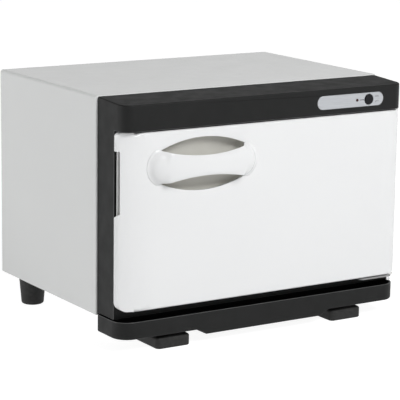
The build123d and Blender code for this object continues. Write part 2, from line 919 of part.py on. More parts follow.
with BuildPart() as terminal_block:
    block(
        (button_x - terminal_half_width, terminal_front_y, base_top),
        (button_x + terminal_half_width, terminal_back_y, base_top + terminal_height),
    )
    fillet(edges().filter_by(Axis.Z), terminal_corner_radius)
    with BuildSketch(Plane.XY.offset(base_top + terminal_height)):
        with Locations((button_x, (terminal_front_y + terminal_back_y) / 2)):
            with GridLocations(terminal_pitch, terminal_row_gap, 3, 2):
                Circle(terminal_hole_radius)
    extrude(amount=-terminal_hole_depth, mode=Mode.SUBTRACT)
terminal_block.part.label = "terminal_block"
export_step(terminal_block.part, "parts/terminal_block.step")

with BuildPart() as wiring_loom:
    with BuildLine() as loom_route:
        FilletPolyline(
            (button_x, switch_back_y + tab_length + fit_gap, loom_z),
            (button_x, loom_drop_y, loom_z),
            (button_x, loom_drop_y, loom_low_z),
            (button_x, terminal_back_y + fit_gap, loom_low_z),
            radius=loom_bends,
        )
    with BuildSketch(Plane(origin=loom_route.line @ 0, z_dir=loom_route.line % 0)):
        Circle(loom_radius)
    sweep(path=loom_route.line)
wiring_loom.part.label = "wiring_loom"
export_step(wiring_loom.part, "parts/wiring_loom.step")

# Gland: a plastic bush in the rear panel with an empty bore

with BuildPart() as cord_gland:
    with BuildSketch(facing_front(rear_outer_y + gland_proud)):
        with Locations((gland_x, gland_z)):
            Circle(gland_flange_radius)
    extrude(amount=gland_proud)
    fillet(edges().group_by(Axis.Y)[-1], gland_edge_radius)
    with BuildSketch(facing_front(rear_outer_y)):
        with Locations((gland_x, gland_z)):
            Circle(gland_neck_radius)
    extrude(amount=panel_sheet + gland_inner_length)
    drill(
        facing_front(rear_outer_y + gland_proud),
        [(gland_x, gland_z)],
        gland_bore_radius,
        gland_proud + panel_sheet + gland_inner_length,
    )
cord_gland.part.label = "cord_gland"
export_step(cord_gland.part, "parts/cord_gland.step")

# Feet: two long front pads whose toes reach under the drip tray, and two round rear feet

toe_front_y = front_y - toe_reach
foot_back_y = foot_front_y + front_foot_depth
foot_seat_z = base_bottom - foot_seat_thickness
rear_foot_seat_z = case_bottom - foot_seat_thickness

for side, name in ((-1, "front_foot_left"), (1, "front_foot_right")):
    with BuildPart() as front_foot:
        with BuildSketch(Plane.YZ.offset(side * front_foot_x - front_foot_width / 2)):
            with BuildLine():
                Polyline(
                    (toe_front_y, 0),
                    (foot_back_y, 0),
                    (foot_back_y, base_bottom),
                    (foot_front_y, base_bottom),
                    (foot_front_y, toe_height),
                    (toe_front_y, toe_height),
                    close=True,
                )
            make_face()
        extrude(amount=front_foot_width)
        fillet(edges().filter_by(Axis.Z).group_by(Axis.Y)[0], toe_radius)
        fillet(edges().filter_by(Axis.Z).group_by(Axis.Y)[-1], toe_radius)
        fillet(faces().group_by(Axis.Z)[0].edges(), foot_edge_radius)
        toe_top = faces().filter_by(Axis.Z).sort_by(Axis.Z)[1]
        fillet(toe_top.edges().sort_by(Axis.Y)[:-1], toe_edge_radius)
        for y in front_foot_screws_y:
            with Locations(Plane.XY.offset(base_bottom)):
                with Locations((side * front_foot_x, y)):
                    Hole(foot_screw_radius + hole_clearance)
            drill(Plane.XY, [(side * front_foot_x, y)], foot_bore_radius, foot_seat_z)
    front_foot.part.label = name
    export_step(front_foot.part, f"parts/{name}.step")

for side, name in ((-1, "rear_foot_left"), (1, "rear_foot_right")):
    foot_axis = Axis((side * rear_foot_x, rear_foot_y, 0), (0, 0, 1))
    with BuildPart() as rear_foot:
        with BuildSketch(Plane(origin=foot_axis.position, x_dir=(1, 0, 0), z_dir=(0, -1, 0))):
            with BuildLine():
                Polyline(
                    (foot_bore_radius, 0),
                    (rear_foot_bottom_radius, 0),
                    (rear_foot_top_radius, case_bottom),
                    (foot_screw_radius + hole_clearance, case_bottom),
                    (foot_screw_radius + hole_clearance, rear_foot_seat_z),
                    (foot_bore_radius, rear_foot_seat_z),
                    close=True,
                )
            make_face()
            fillet(vertices().sort_by(Axis.Y)[0:2].sort_by(Axis.X)[-1], rear_foot_edge_radius)
        revolve(axis=foot_axis)
    rear_foot.part.label = name
    export_step(rear_foot.part, f"parts/{name}.step")

# Drip tray: a trough under the door, deeper in the middle, on two runners

runner_bottom = runner_top - runner_thickness

with BuildPart() as drip_tray:
    with BuildSketch(Plane.XY.offset(tray_centre_bottom)):
        area((-half_width, tray_front_y), (half_width, tray_back_y))
        fillet(vertices().group_by(Axis.Y)[0], tray_front_radius)
        fillet(vertices().group_by(Axis.Y)[-1], tray_back_radius)
    extrude(amount=tray_centre_height)
    for side in (-1, 1):
        with BuildSketch(facing_front(tray_back_y + 1)):
            with BuildLine():
                Polyline(
                    (side * (half_width + 1), tray_end_bottom),
                    (side * tray_high_half, tray_end_bottom),
                    (side * tray_low_half, tray_centre_bottom),
                    (side * tray_low_half, tray_centre_bottom - 1),
                    (side * (half_width + 1), tray_centre_bottom - 1),
                    close=True,
                )
            make_face()
        extrude(amount=tray_front_reach + 2, mode=Mode.SUBTRACT)
    under = faces().filter_by(lambda f: f.normal_at().Z < -0.5)
    lengthwise = under.edges().filter_by(Axis.Y)
    creases = lengthwise.filter_by(lambda e: abs(e.center().X) < half_width - tray_edge_radius)
    fillet(under.edges() - creases, tray_edge_radius)
    with BuildSketch(Plane.XY.offset(tray_end_bottom + tray_wall)):
        area(
            (-half_width + tray_wall, tray_front_y + tray_wall),
            (half_width - tray_wall, tray_back_y - tray_wall),
        )
        fillet(vertices().group_by(Axis.Y)[0], tray_front_radius - tray_wall)
        fillet(vertices().group_by(Axis.Y)[-1], tray_back_radius - tray_wall)
    extrude(amount=tray_end_height, mode=Mode.SUBTRACT)
    block(
        (-tray_low_half, tray_front_y + tray_wall, tray_centre_bottom + tray_wall),
        (tray_low_half, tray_back_y - tray_wall, tray_end_bottom + tray_wall + 1),
        Mode.SUBTRACT,
    )
    for side in (-1, 1):
        block(
            (side * runner_x - runner_width / 2, tray_back_y - tray_wall / 2, runner_bottom),
            (side * runner_x + runner_width / 2, front_y + runner_length, runner_top),
        )
drip_tray.part.label = "drip_tray"
export_step(drip_tray.part, "parts/drip_tray.step")

guide_inner = runner_width / 2 + guide_clearance
guide_outer = guide_inner + guide_wall
guide_front_y = front_y + guide_setback

with BuildPart() as tray_guides:
    for side in (-1, 1):
        with BuildSketch(facing_front(guide_front_y + guide_length)):
            area(
                (side * runner_x - guide_outer, runner_bottom - guide_clearance - guide_wall),
                (side * runner_x + guide_outer, base_bottom),
            )
            area(
                (side * runner_x - guide_inner, runner_bottom - guide_clearance),
                (side * runner_x + guide_inner, runner_top + guide_clearance),
                Mode.SUBTRACT,
            )
            area(
                (side * runner_x - guide_slot / 2, runner_bottom - guide_clearance - guide_wall),
                (side * runner_x + guide_slot / 2, runner_bottom - guide_clearance),
                Mode.SUBTRACT,
            )
            area(
                (side * guide_screw_x - guide_flange / 2, base_bottom - guide_wall),
                (side * guide_screw_x + guide_flange / 2, base_bottom),
            )
        extrude(amount=guide_length)
    drill(
        Plane.XY.offset(base_bottom - guide_wall),
        guide_screw_points,
        screw_radius + hole_clearance,
        guide_wall,
    )
tray_guides.part.label = "tray_guides"
export_step(tray_guides.part, "parts/tray_guides.step")

# Door shell: a deep white moulding with soft front corners, a lens-shaped opening and a grip

cavity_front_y = door_front_y + wall
post_points = [
    (x, door_mid_z + side * post_spread)
    for x in (-door_half_width + post_inset, chamber_width / 2 + gasket_cover / 2)
    for side in (-1, 1)
]
panel_front_y = door_back_y - inner_panel_sheet
notch_low = door_bottom + notch_bottom


def soft_corner(side, inset, width, depth):
    """Quarter of an ellipse in plan, from the door's side to its front, set in by a wall."""
    x_side = side * (door_half_width - inset)
    x_flat = side * (door_half_width - width)
    y_side = door_front_y + depth
    y_flat = door_front_y + inset
    return Bezier(
        (x_side, y_side),
        (x_side, y_side + arc_handle * (y_flat - y_side)),
        (x_flat + arc_handle * (x_side - x_flat), y_flat),
        (x_flat, y_flat),
    )


def lens(margin):
    """Outline of the handle's opening, grown by a margin."""
    half = slot_half_length + margin
    tip = slot_tip_half_height + margin
    apex = slot_half_height + margin
    with BuildLine() as outline:
        ThreePointArc((-half, tip), (0, apex), (half, tip))
        ThreePointArc((half, tip), (half + slot_end_bulge, 0), (half, -tip))
        ThreePointArc((half, -tip), (0, -apex), (-half, -tip))
        ThreePointArc((-half, -tip), (-half - slot_end_bulge, 0), (-half, tip))
    return outline.edges()


def handle_plane(y):
    """Plane centred on the handle, facing forwards."""
    return Plane(origin=(handle_x, y, handle_z), x_dir=(1, 0, 0), z_dir=(0, -1, 0))


grip_back_rise = grip_rise - grip_thickness

with BuildPart() as grip_bar:
    with BuildSketch(Plane(origin=(handle_x, door_front_y, handle_z - slot_tip_half_height))):
        with BuildLine():
            ends = [(side * grip_half_length, 0) for side in (-1, 1)]
            roots = [(side * (slot_half_length + slot_end_bulge), wall) for side in (-1, 1)]
            for side, end, root in zip((-1, 1), ends, roots):
                Bezier(
                    end,
                    (side * grip_half_length, -grip_end_fullness * grip_rise),
                    (side * grip_mid_fullness * grip_half_length, -grip_rise),
                    (0, -grip_rise),
                )
                Bezier(
                    root,
                    (side * (slot_half_length + slot_end_bulge), -grip_end_fullness * grip_back_rise),
                    (side * grip_mid_fullness * grip_half_length, -grip_back_rise),
                    (0, -grip_back_rise),
                )
                Polyline(end, (side * grip_half_length, wall), root)
        make_face()
    extrude(amount=2 * slot_tip_half_height)
    with BuildSketch(handle_plane(door_front_y + wall)):
        with BuildLine():
            half = slot_half_length
            tip = slot_tip_half_height
            ThreePointArc((-half, tip), (0, grip_waist_half_height), (half, tip))
            ThreePointArc((half, tip), (grip_half_length, 0), (half, -tip))
            ThreePointArc((half, -tip), (0, -grip_waist_half_height), (-half, -tip))
            ThreePointArc((-half, -tip), (-grip_half_length, 0), (-half, tip))
        make_face()
    extrude(amount=grip_rise + wall + 1, mode=Mode.INTERSECT)

with BuildPart() as door_space:
    with BuildSketch(Plane.XY.offset(door_bottom + wall)):
        with BuildLine():
            corner = soft_corner(-1, wall, free_round_width, free_round_depth)
            Polyline(
                corner @ 1,
                (stile_x, cavity_front_y),
                (stile_x, door_back_y),
                (-door_half_width + wall, door_back_y),
                corner @ 0,
            )
        make_face()
    extrude(amount=door_top - door_bottom - 2 * wall)
    with BuildSketch(facing_front(door_back_y)):
        area((-door_half_width + wall - corner_overrun, door_bottom + wall), (stile_x, door_top - wall))
        low_left = vertices().group_by(Axis.Y)[0].sort_by(Axis.X)[0]
        fillet(low_left, door_bottom_corner_radius - wall)
        high_left = vertices().group_by(Axis.Y)[-1].sort_by(Axis.X)[0]
        fillet(high_left, door_top_corner_radius - wall)
    extrude(amount=door_thickness, mode=Mode.INTERSECT)
    with BuildSketch(facing_front(panel_front_y)):
        with Locations(*post_points):
            Circle(post_radius)
    extrude(amount=door_thickness, mode=Mode.SUBTRACT)

with BuildPart() as door_shell:
    with BuildSketch(Plane.XY.offset(door_bottom)):
        with BuildLine():
            left = soft_corner(-1, 0, free_round_width, free_round_depth)
            right = soft_corner(1, 0, hinge_round_width, hinge_round_depth)
            Line(left @ 1, right @ 1)
            Polyline(
                left @ 0,
                (-door_half_width, door_back_y),
                (door_half_width - door_hinge_edge_radius, door_back_y),
            )
            RadiusArc(
                (door_half_width - door_hinge_edge_radius, door_back_y),
                (door_half_width, door_back_y - door_hinge_edge_radius),
                door_hinge_edge_radius,
            )
        make_face()
    extrude(amount=door_top - door_bottom)
    with BuildSketch(facing_front(door_back_y)):
        area(
            (-door_half_width - corner_overrun, door_bottom),
            (door_half_width + corner_overrun, door_top),
        )
        fillet(vertices().group_by(Axis.Y)[-1], door_top_corner_radius)
        fillet(vertices().group_by(Axis.Y)[0], door_bottom_corner_radius)
    extrude(amount=door_thickness, mode=Mode.INTERSECT)
    with BuildSketch(Plane.YZ.offset(-half_width)):
        area((door_front_y, door_bottom), (door_back_y, door_top))
        fillet(vertices().group_by(Axis.X)[0], door_edge_radius)
    extrude(amount=case_width, mode=Mode.INTERSECT)
    add(door_space.part, mode=Mode.SUBTRACT)
    block(
        (stile_x + door_rib, door_front_y + stile_skin, door_bottom + hinge_block_height),
        (door_half_width - stile_skin, door_back_y, door_top - hinge_block_height),
        Mode.SUBTRACT,
    )
    with BuildSketch(facing_front(cavity_front_y)):
        with Locations((handle_x, handle_z)):
            add(make_face(lens(0), mode=Mode.PRIVATE))
    extrude(amount=wall, mode=Mode.SUBTRACT)
    add(grip_bar.part)
    drill(facing_front(panel_front_y), post_points, screw_radius + thread_clearance, post_hole_depth)
    drill(Plane.XY.offset(door_bottom), [(hinge_x, hinge_y)], bush_radius + thread_clearance, bush_length)
    drill(
        Plane.XY.offset(door_top - bush_length),
        [(hinge_x, hinge_y)],
        bush_radius + thread_clearance,
        bush_length,
    )
    with BuildSketch(Plane.YZ.offset(-door_half_width)):
        with BuildLine():
            Polyline(
                (door_back_y, notch_low),
                (door_back_y - notch_depth, notch_low + notch_slant),
                (door_back_y - notch_depth, notch_low + notch_height),
                (door_back_y, notch_low + notch_height),
                close=True,
            )
        make_face()
    extrude(amount=notch_reach, mode=Mode.SUBTRACT)
door_shell.part.label = "door_shell"
export_step(door_shell.part, "parts/door_shell.step")

# Handle cup: a shallow bowl behind the opening, with a flange against the shell

cup_back_y = door_front_y + cup_depth + cup_wall

with BuildPart() as cup_space:
    with BuildSketch(facing_front(cup_back_y - cup_wall)):
        with Locations((handle_x, handle_z)):
            add(make_face(lens(cup_ledge), mode=Mode.PRIVATE))
        fillet(vertices(), cup_corner_radius)
    extrude(amount=cup_depth - wall)
    fillet(edges().group_by(Axis.Y)[-1], cup_corner_radius - cup_ledge)

with BuildPart() as handle_cup:
    with BuildSketch(facing_front(cup_back_y)):
        with Locations((handle_x, handle_z)):
            add(make_face(lens(cup_ledge + cup_wall), mode=Mode.PRIVATE))
        fillet(vertices(), cup_corner_radius + cup_wall)
    extrude(amount=cup_depth + cup_wall - wall)
    fillet(edges().group_by(Axis.Y)[-1], cup_corner_radius)
    with BuildSketch(facing_front(cavity_front_y + cup_wall)):
        with Locations((handle_x, handle_z)):
            add(make_face(lens(cup_flange), mode=Mode.PRIVATE))
    extrude(amount=cup_wall)
    add(cup_space.part, mode=Mode.SUBTRACT)
handle_cup.part.label = "handle_cup"
export_step(handle_cup.part, "parts/handle_cup.step")

# Inner panel that closes the back of the door, with the gasket and the catch strike on it

panel_left = -door_half_width + wall + slip_gap
panel_right = stile_x - slip_gap
panel_low = door_bottom + wall + slip_gap
panel_high = door_top - wall - slip_gap

with BuildPart() as door_inner_panel:
    with BuildSketch(facing_front(door_back_y)):
        area((panel_left, panel_low), (panel_right, panel_high))
        fillet(vertices().group_by(Axis.Y)[0].sort_by(Axis.X)[0], door_bottom_corner_radius - wall)
        fillet(vertices().group_by(Axis.Y)[-1].sort_by(Axis.X)[0], door_top_corner_radius - wall)
        with Locations(*post_points):
            Circle(screw_radius + hole_clearance, mode=Mode.SUBTRACT)
    extrude(amount=inner_panel_sheet)
door_inner_panel.part.label = "door_inner_panel"
export_step(door_inner_panel.part, "parts/door_inner_panel.step")

with BuildPart() as door_insulation:
    block(
        (foam_share * free_round_width - door_half_width, cavity_front_y + fit_gap, panel_low),
        (panel_right, panel_front_y - fit_gap, panel_high),
    )
    with BuildSketch(facing_front(door_back_y)):
        with Locations((handle_x, handle_z)):
            add(make_face(lens(cup_flange + foam_relief), mode=Mode.PRIVATE))
        with Locations(*post_points):
            Circle(post_radius + fit_gap)
    extrude(amount=door_thickness, mode=Mode.SUBTRACT)
door_insulation.part.label = "door_insulation"
export_step(door_insulation.part, "parts/door_insulation.step")

gasket_half_width = chamber_width / 2 + gasket_cover + gasket_width
gasket_half_height = chamber_height / 2 + gasket_cover_height + gasket_width

with BuildPart() as door_gasket:
    with BuildSketch(facing_front(door_back_y + door_gap - fit_gap)):
        with Locations((0, door_mid_z)):
            RectangleRounded(2 * gasket_half_width, 2 * gasket_half_height, gasket_corner_radius)
            RectangleRounded(
                2 * (gasket_half_width - gasket_width),
                2 * (gasket_half_height - gasket_width),
                gasket_corner_radius - gasket_width,
                mode=Mode.SUBTRACT,
            )
    extrude(amount=door_gap - fit_gap)
    fillet(edges().group_by(Axis.Y)[-1], gasket_edge_radius)
door_gasket.part.label = "door_gasket"
export_step(door_gasket.part, "parts/door_gasket.step")

# Magnetic catch in the frame and its steel strike on the door

catch_front_y = frame_front_y - catch_proud
catch_low = door_mid_z - catch_height / 2
catch_high = door_mid_z + catch_height / 2

with BuildPart() as magnet_catch:
    block(
        (catch_x - catch_width / 2, catch_front_y, catch_low),
        (catch_x + catch_width / 2, liner_front_y + catch_depth, catch_high),
    )
    block(
        (catch_x - catch_width / 2, liner_front_y, catch_low - catch_ear),
        (catch_x + catch_width / 2, liner_front_y + catch_depth / 2, catch_high + catch_ear),
    )
magnet_catch.part.label = "magnet_catch"
export_step(magnet_catch.part, "parts/magnet_catch.step")

with BuildPart() as door_strike:
    with BuildSketch(facing_front(catch_front_y - fit_gap)):
        area((catch_x - catch_width / 2, catch_low), (catch_x + catch_width / 2, catch_high))
        fillet(vertices(), strike_corner_radius)
    extrude(amount=catch_front_y - fit_gap - door_back_y)
door_strike.part.label = "door_strike"
export_step(door_strike.part, "parts/door_strike.step")

# Hinges at the door's right edge: bushes in the door, pins in steel brackets on the frame

leaf_front_y = hinge_y - leaf_overhang
flange_back_y = liner_front_y + bracket_sheet

for name, seat, inward in (
    ("hinge_bush_lower", door_bottom, 1),
    ("hinge_bush_upper", door_top, -1),
):
    with BuildPart() as hinge_bush:
        with BuildSketch(Plane.XY.offset(seat)):
            with Locations((hinge_x, hinge_y)):
                Circle(bush_radius)
                Circle(pin_radius + pin_clearance, mode=Mode.SUBTRACT)
        extrude(amount=inward * bush_length)
        with BuildSketch(Plane.XY.offset(seat)):
            with Locations((hinge_x, hinge_y)):
                Circle(bush_flange_radius)
                Circle(pin_radius + pin_clearance, mode=Mode.SUBTRACT)
        extrude(amount=-inward * bush_flange_thickness)
    hinge_bush.part.label = name
    export_step(hinge_bush.part, f"parts/{name}.step")

with BuildPart() as lower_hinge_bracket:
    with BuildSketch(Plane.XY.offset(leaf_bottom)):
        area((lower_bracket_left, leaf_front_y), (bracket_right, flange_back_y))
        fillet(vertices().group_by(Axis.Y)[0], lower_leaf_corner_radius)
        with Locations((hinge_x, hinge_y)):
            Circle(pin_radius + thread_clearance, mode=Mode.SUBTRACT)
    extrude(amount=bracket_sheet)
    block(
        (lower_bracket_left, liner_front_y, leaf_bottom),
        (bracket_right, flange_back_y, leaf_top + lower_flange_height),
    )
    drill(
        facing_front(flange_back_y),
        lower_screw_points,
        screw_radius + thread_clearance,
        bracket_sheet,
    )
lower_hinge_bracket.part.label = "lower_hinge_bracket"
export_step(lower_hinge_bracket.part, "parts/lower_hinge_bracket.step")

upper_plate_z = header_floor_top + bracket_sheet

with BuildPart() as upper_hinge_bracket:
    with BuildSketch(Plane.XY.offset(header_floor_top)):
        area((upper_bracket_left, leaf_front_y), (bracket_right, front_y - upper_leaf_setback))
        fillet(vertices().group_by(Axis.Y)[0], upper_leaf_corner_radius)
        with Locations((hinge_x, hinge_y)):
            Circle(pin_radius + thread_clearance, mode=Mode.SUBTRACT)
        with Locations(*upper_screw_points):
            Circle(screw_radius + thread_clearance, mode=Mode.SUBTRACT)
    extrude(amount=bracket_sheet)
upper_hinge_bracket.part.label = "upper_hinge_bracket"
export_step(upper_hinge_bracket.part, "parts/upper_hinge_bracket.step")

with BuildPart() as lower_hinge_pin:
    pin_seat = Plane(origin=(hinge_x, hinge_y, leaf_bottom - lower_pin_tail))
    with BuildSketch(pin_seat):
        Circle(pin_radius)
    extrude(amount=door_bottom + bush_length - leaf_bottom + lower_pin_tail)
    chamfer(edges().group_by(Axis.Z)[-1], pin_lead)
    with BuildSketch(pin_seat):
        Circle(pin_head_radius)
    extrude(amount=-pin_head_height)
lower_hinge_pin.part.label = "lower_hinge_pin"
export_step(lower_hinge_pin.part, "parts/lower_hinge_pin.step")

with BuildPart() as upper_hinge_pin:
    pin_seat = Plane(origin=(hinge_x, hinge_y, upper_plate_z))
    with BuildSketch(pin_seat):
        Circle(pin_radius)
    extrude(amount=-(upper_plate_z - door_top + bush_length))
    chamfer(edges().group_by(Axis.Z)[0], pin_lead)
    with BuildSketch(pin_seat):
        Circle(pin_head_radius)
    extrude(amount=pin_head_height)
upper_hinge_pin.part.label = "upper_hinge_pin"
export_step(upper_hinge_pin.part, "parts/upper_hinge_pin.step")

# Wire rack that keeps the towels off the chamber floor

rack_z = chamber_bottom + rack_lift
rack_half_width = chamber_width / 2 - rack_side_gap
rack_front_y = liner_front_y + rack_front_setback
rack_rear_y = liner_back_y - rack_back_gap
rack_mid_y = (rack_front_y + rack_rear_y) / 2
rack_top_z = rack_z + 2 * rack_wire_radius - rack_wire_overlap
rack_pitch = 2 * rack_half_width / (rack_wires + 1)
rack_leg_x = chamber_width / 2 - rack_leg_inset
rack_x = [-rack_half_width + rack_pitch * (i + 1) for i in range(rack_wires)]

with BuildPart() as wire_rack:
    for bar_y in (rack_front_y, rack_rear_y):
        with BuildLine() as rack_edge:
            FilletPolyline(
                (-rack_half_width, rack_mid_y, rack_z),
                (-rack_half_width, bar_y, rack_z),
                (rack_half_width, bar_y, rack_z),
                (rack_half_width, rack_mid_y, rack_z),
                radius=rack_corner_radius,
            )
        with BuildSketch(Plane(origin=rack_edge.line @ 0, z_dir=rack_edge.line % 0)):
            Circle(rack_wire_radius)
        sweep(path=rack_edge.line)
    with BuildSketch(facing_front(rack_rear_y)):
        with Locations(*[(x, rack_top_z) for x in rack_x]):
            Circle(rack_wire_radius)
    extrude(amount=rack_rear_y - rack_front_y)
    with BuildSketch(Plane.XY.offset(chamber_bottom + fit_gap)):
        with Locations(*[(side * rack_leg_x, y) for side in (-1, 1) for y in (rack_front_y, rack_rear_y)]):
            Circle(rack_wire_radius)
    extrude(amount=rack_lift - fit_gap)
wire_rack.part.label = "wire_rack"
export_step(wire_rack.part, "parts/wire_rack.step")

# Screws, grouped by the joint they hold

with BuildPart() as rear_panel_screws:
    screw_bodies(
        facing_front(rear_outer_y),
        -1,
        rear_screw_points,
        screw_radius,
        sheet_screw_length,
        screw_head_radius,
    )
rear_panel_screws.part.label = "rear_panel_screws"
export_step(rear_panel_screws.part, "parts/rear_panel_screws.step")

with BuildPart() as base_screws:
    screw_bodies(
        Plane.XY.offset(case_bottom),
        -1,
        base_screw_points,
        screw_radius,
        sheet_screw_length,
        screw_head_radius,
    )
    screw_bodies(
        Plane.XY.offset(base_bottom - guide_wall),
        -1,
        guide_screw_points,
        screw_radius,
        guide_wall + guide_screw_bite,
        screw_head_radius,
    )
base_screws.part.label = "base_screws"
export_step(base_screws.part, "parts/base_screws.step")

with BuildPart() as foot_screws:
    screw_bodies(
        Plane.XY.offset(foot_seat_z),
        -1,
        front_foot_screw_points,
        foot_screw_radius,
        foot_seat_thickness + foot_screw_bite,
        foot_screw_head_radius,
        foot_screw_head_height,
    )
    screw_bodies(
        Plane.XY.offset(rear_foot_seat_z),
        -1,
        rear_foot_screw_points,
        foot_screw_radius,
        foot_seat_thickness + case_sheet + foot_screw_bite,
        foot_screw_head_radius,
        foot_screw_head_height,
    )
foot_screws.part.label = "foot_screws"
export_step(foot_screws.part, "parts/foot_screws.step")

with BuildPart() as liner_screws:
    screw_bodies(
        facing_front(liner_front_y + liner_sheet),
        -1,
        liner_screw_points,
        screw_radius,
        liner_sheet + liner_screw_bite - tip_gap,
        screw_head_radius,
    )
liner_screws.part.label = "liner_screws"
export_step(liner_screws.part, "parts/liner_screws.step")

with BuildPart() as hinge_screws:
    screw_bodies(
        facing_front(flange_back_y),
        -1,
        lower_screw_points,
        screw_radius,
        bracket_sheet + wall - blind_skin - tip_gap,
        screw_head_radius,
    )
    screw_bodies(
        Plane.XY.offset(upper_plate_z),
        1,
        upper_screw_points,
        screw_radius,
        bracket_sheet + wall - fit_gap,
        screw_head_radius,
    )
hinge_screws.part.label = "hinge_screws"
export_step(hinge_screws.part, "parts/hinge_screws.step")

with BuildPart() as door_screws:
    screw_bodies(
        facing_front(door_back_y),
        -1,
        post_points,
        screw_radius,
        inner_panel_sheet + door_screw_bite,
        screw_head_radius,
    )
door_screws.part.label = "door_screws"
export_step(door_screws.part, "parts/door_screws.step")
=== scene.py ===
# %% [markdown]
# # A hot towel cabinet
# The real object is a small countertop cabinet that keeps rolled towels warm: a white sheet-metal
# case, a black header with a push switch, a white door with a bar handle, a black drip tray and
# black feet. Its solids are already packed, in metres, with the worktop at z = 0, +X to the right
# of someone facing the door and +Y away from them. They could be remodelled here by eye, but then
# the hinge and the tray would no longer fit, so the solids stay, and this script gives them their
# finish and rebuilds the two pieces whose soft shape a solid model only roughs out: the door with
# its bar, and the bowl behind the bar.

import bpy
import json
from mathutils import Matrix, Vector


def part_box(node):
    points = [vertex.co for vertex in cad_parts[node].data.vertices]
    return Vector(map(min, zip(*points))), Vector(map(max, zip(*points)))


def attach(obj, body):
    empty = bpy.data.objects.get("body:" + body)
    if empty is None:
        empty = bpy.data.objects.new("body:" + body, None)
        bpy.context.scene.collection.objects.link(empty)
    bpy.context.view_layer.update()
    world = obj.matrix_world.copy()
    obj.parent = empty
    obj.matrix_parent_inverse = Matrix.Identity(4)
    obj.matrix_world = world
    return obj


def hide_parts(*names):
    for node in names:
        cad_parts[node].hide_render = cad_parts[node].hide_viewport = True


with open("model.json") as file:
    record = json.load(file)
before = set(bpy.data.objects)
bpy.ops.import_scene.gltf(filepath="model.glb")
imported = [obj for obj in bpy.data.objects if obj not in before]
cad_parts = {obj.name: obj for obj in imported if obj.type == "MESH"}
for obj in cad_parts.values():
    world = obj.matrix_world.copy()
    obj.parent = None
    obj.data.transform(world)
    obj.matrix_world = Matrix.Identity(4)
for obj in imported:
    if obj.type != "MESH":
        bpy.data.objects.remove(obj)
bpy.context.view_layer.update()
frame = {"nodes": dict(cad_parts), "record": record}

# %% Blender's modules and the size of a millimetre
import json
import math

import bmesh
import bpy
from mathutils import Matrix, Vector

mm = 0.001
nodes = frame["nodes"]

# %% [markdown]
# ## The camera
# A camera could be placed by eye until the picture looks right. This one was worked out instead:
# corners of the case, door and tray, whose sizes are known, fix where the camera stood. The view is
# from the left, a little above, through a long lens, which keeps the cabinet's edges nearly
# parallel.

# %% The camera
camera_azimuth = math.radians(-32.434)
camera_elevation = math.radians(11.773)
camera_roll = math.radians(0.795)
camera_place = Vector((-1.0610, -1.6674, 0.5318))
camera_lens = 166.14
film_width = 36
farthest_seen = 50

back = Vector((
    math.sin(camera_azimuth) * math.cos(camera_elevation),
    -math.cos(camera_azimuth) * math.cos(camera_elevation),
    math.sin(camera_elevation),
))
level_right = Vector((math.cos(camera_azimuth), math.sin(camera_azimuth), 0))
level_up = back.cross(level_right)
right = math.cos(camera_roll) * level_right + math.sin(camera_roll) * level_up
up = math.cos(camera_roll) * level_up - math.sin(camera_roll) * level_right

camera = bpy.data.objects.new("camera", bpy.data.cameras.new("camera"))
camera.data.sensor_width = film_width
camera.data.lens = camera_lens
camera.data.clip_end = farthest_seen
camera_turn = Matrix((right, up, back)).transposed().to_4x4()
camera.matrix_world = Matrix.Translation(camera_place) @ camera_turn
bpy.context.scene.collection.objects.link(camera)
bpy.context.scene.camera = camera
print("camera looks along", [round(v, 3) for v in -back])

# %% [markdown]
# ## Materials
# Every finish starts from one Principled shader. A flat colour looks like a toy, so each one gets
# what the real finish has: a fine bump, a little unevenness in tone and in gloss. The textures are
# read in object coordinates. The solids sit in their true place, so a size in a texture is a size
# in metres on the object.

# %% Helpers that build a material
noise_low, noise_high = 0.3, 0.7


def new_finish(name, colour, roughness, metallic=0.0, specular=0.5):
    """A material with one Principled shader."""
    material = bpy.data.materials.new(name)
    material.use_nodes = True
    shader = material.node_tree.nodes["Principled BSDF"]
    shader.inputs["Base Color"].default_value = (*colour, 1)
    shader.inputs["Roughness"].default_value = roughness
    shader.inputs["Metallic"].default_value = metallic
    shader.inputs["Specular IOR Level"].default_value = specular
    print("finish:", name)
    return material


def texture_space(material, stretch):
    """Object coordinates, stretched so that a texture can run in lines."""
    tree = material.node_tree
    place = tree.nodes.new("ShaderNodeTexCoord")
    mapping = tree.nodes.new("ShaderNodeMapping")
    mapping.inputs["Scale"].default_value = stretch
    tree.links.new(place.outputs["Object"], mapping.inputs["Vector"])
    return mapping.outputs["Vector"]


def noise(material, grain, detail=2.0, stretch=(1, 1, 1)):
    """Noise whose blots are about one grain across, in metres."""
    tree = material.node_tree
    texture = tree.nodes.new("ShaderNodeTexNoise")
    texture.inputs["Scale"].default_value = 1 / grain
    texture.inputs["Detail"].default_value = detail
    tree.links.new(texture_space(material, stretch), texture.inputs["Vector"])
    return texture.outputs["Fac"]


def between(material, value, low, high):
    """Spread noise over a range. Noise seldom leaves the middle of 0 to 1, so only that part is used."""
    tree = material.node_tree
    spread = tree.nodes.new("ShaderNodeMapRange")
    spread.inputs["From Min"].default_value = noise_low
    spread.inputs["From Max"].default_value = noise_high
    spread.inputs["To Min"].default_value = low
    spread.inputs["To Max"].default_value = high
    tree.links.new(value, spread.inputs["Value"])
    return spread.outputs["Result"]


def add_bump(material, height, depth):
    """Let a texture raise the surface by up to depth, in metres, on top of any bump already there."""
    tree = material.node_tree
    shader = tree.nodes["Principled BSDF"]
    bump = tree.nodes.new("ShaderNodeBump")
    bump.inputs["Distance"].default_value = depth
    if shader.inputs["Normal"].is_linked:
        tree.links.new(shader.inputs["Normal"].links[0].from_socket, bump.inputs["Normal"])
    tree.links.new(height, bump.inputs["Height"])
    tree.links.new(bump.outputs["Normal"], shader.inputs["Normal"])


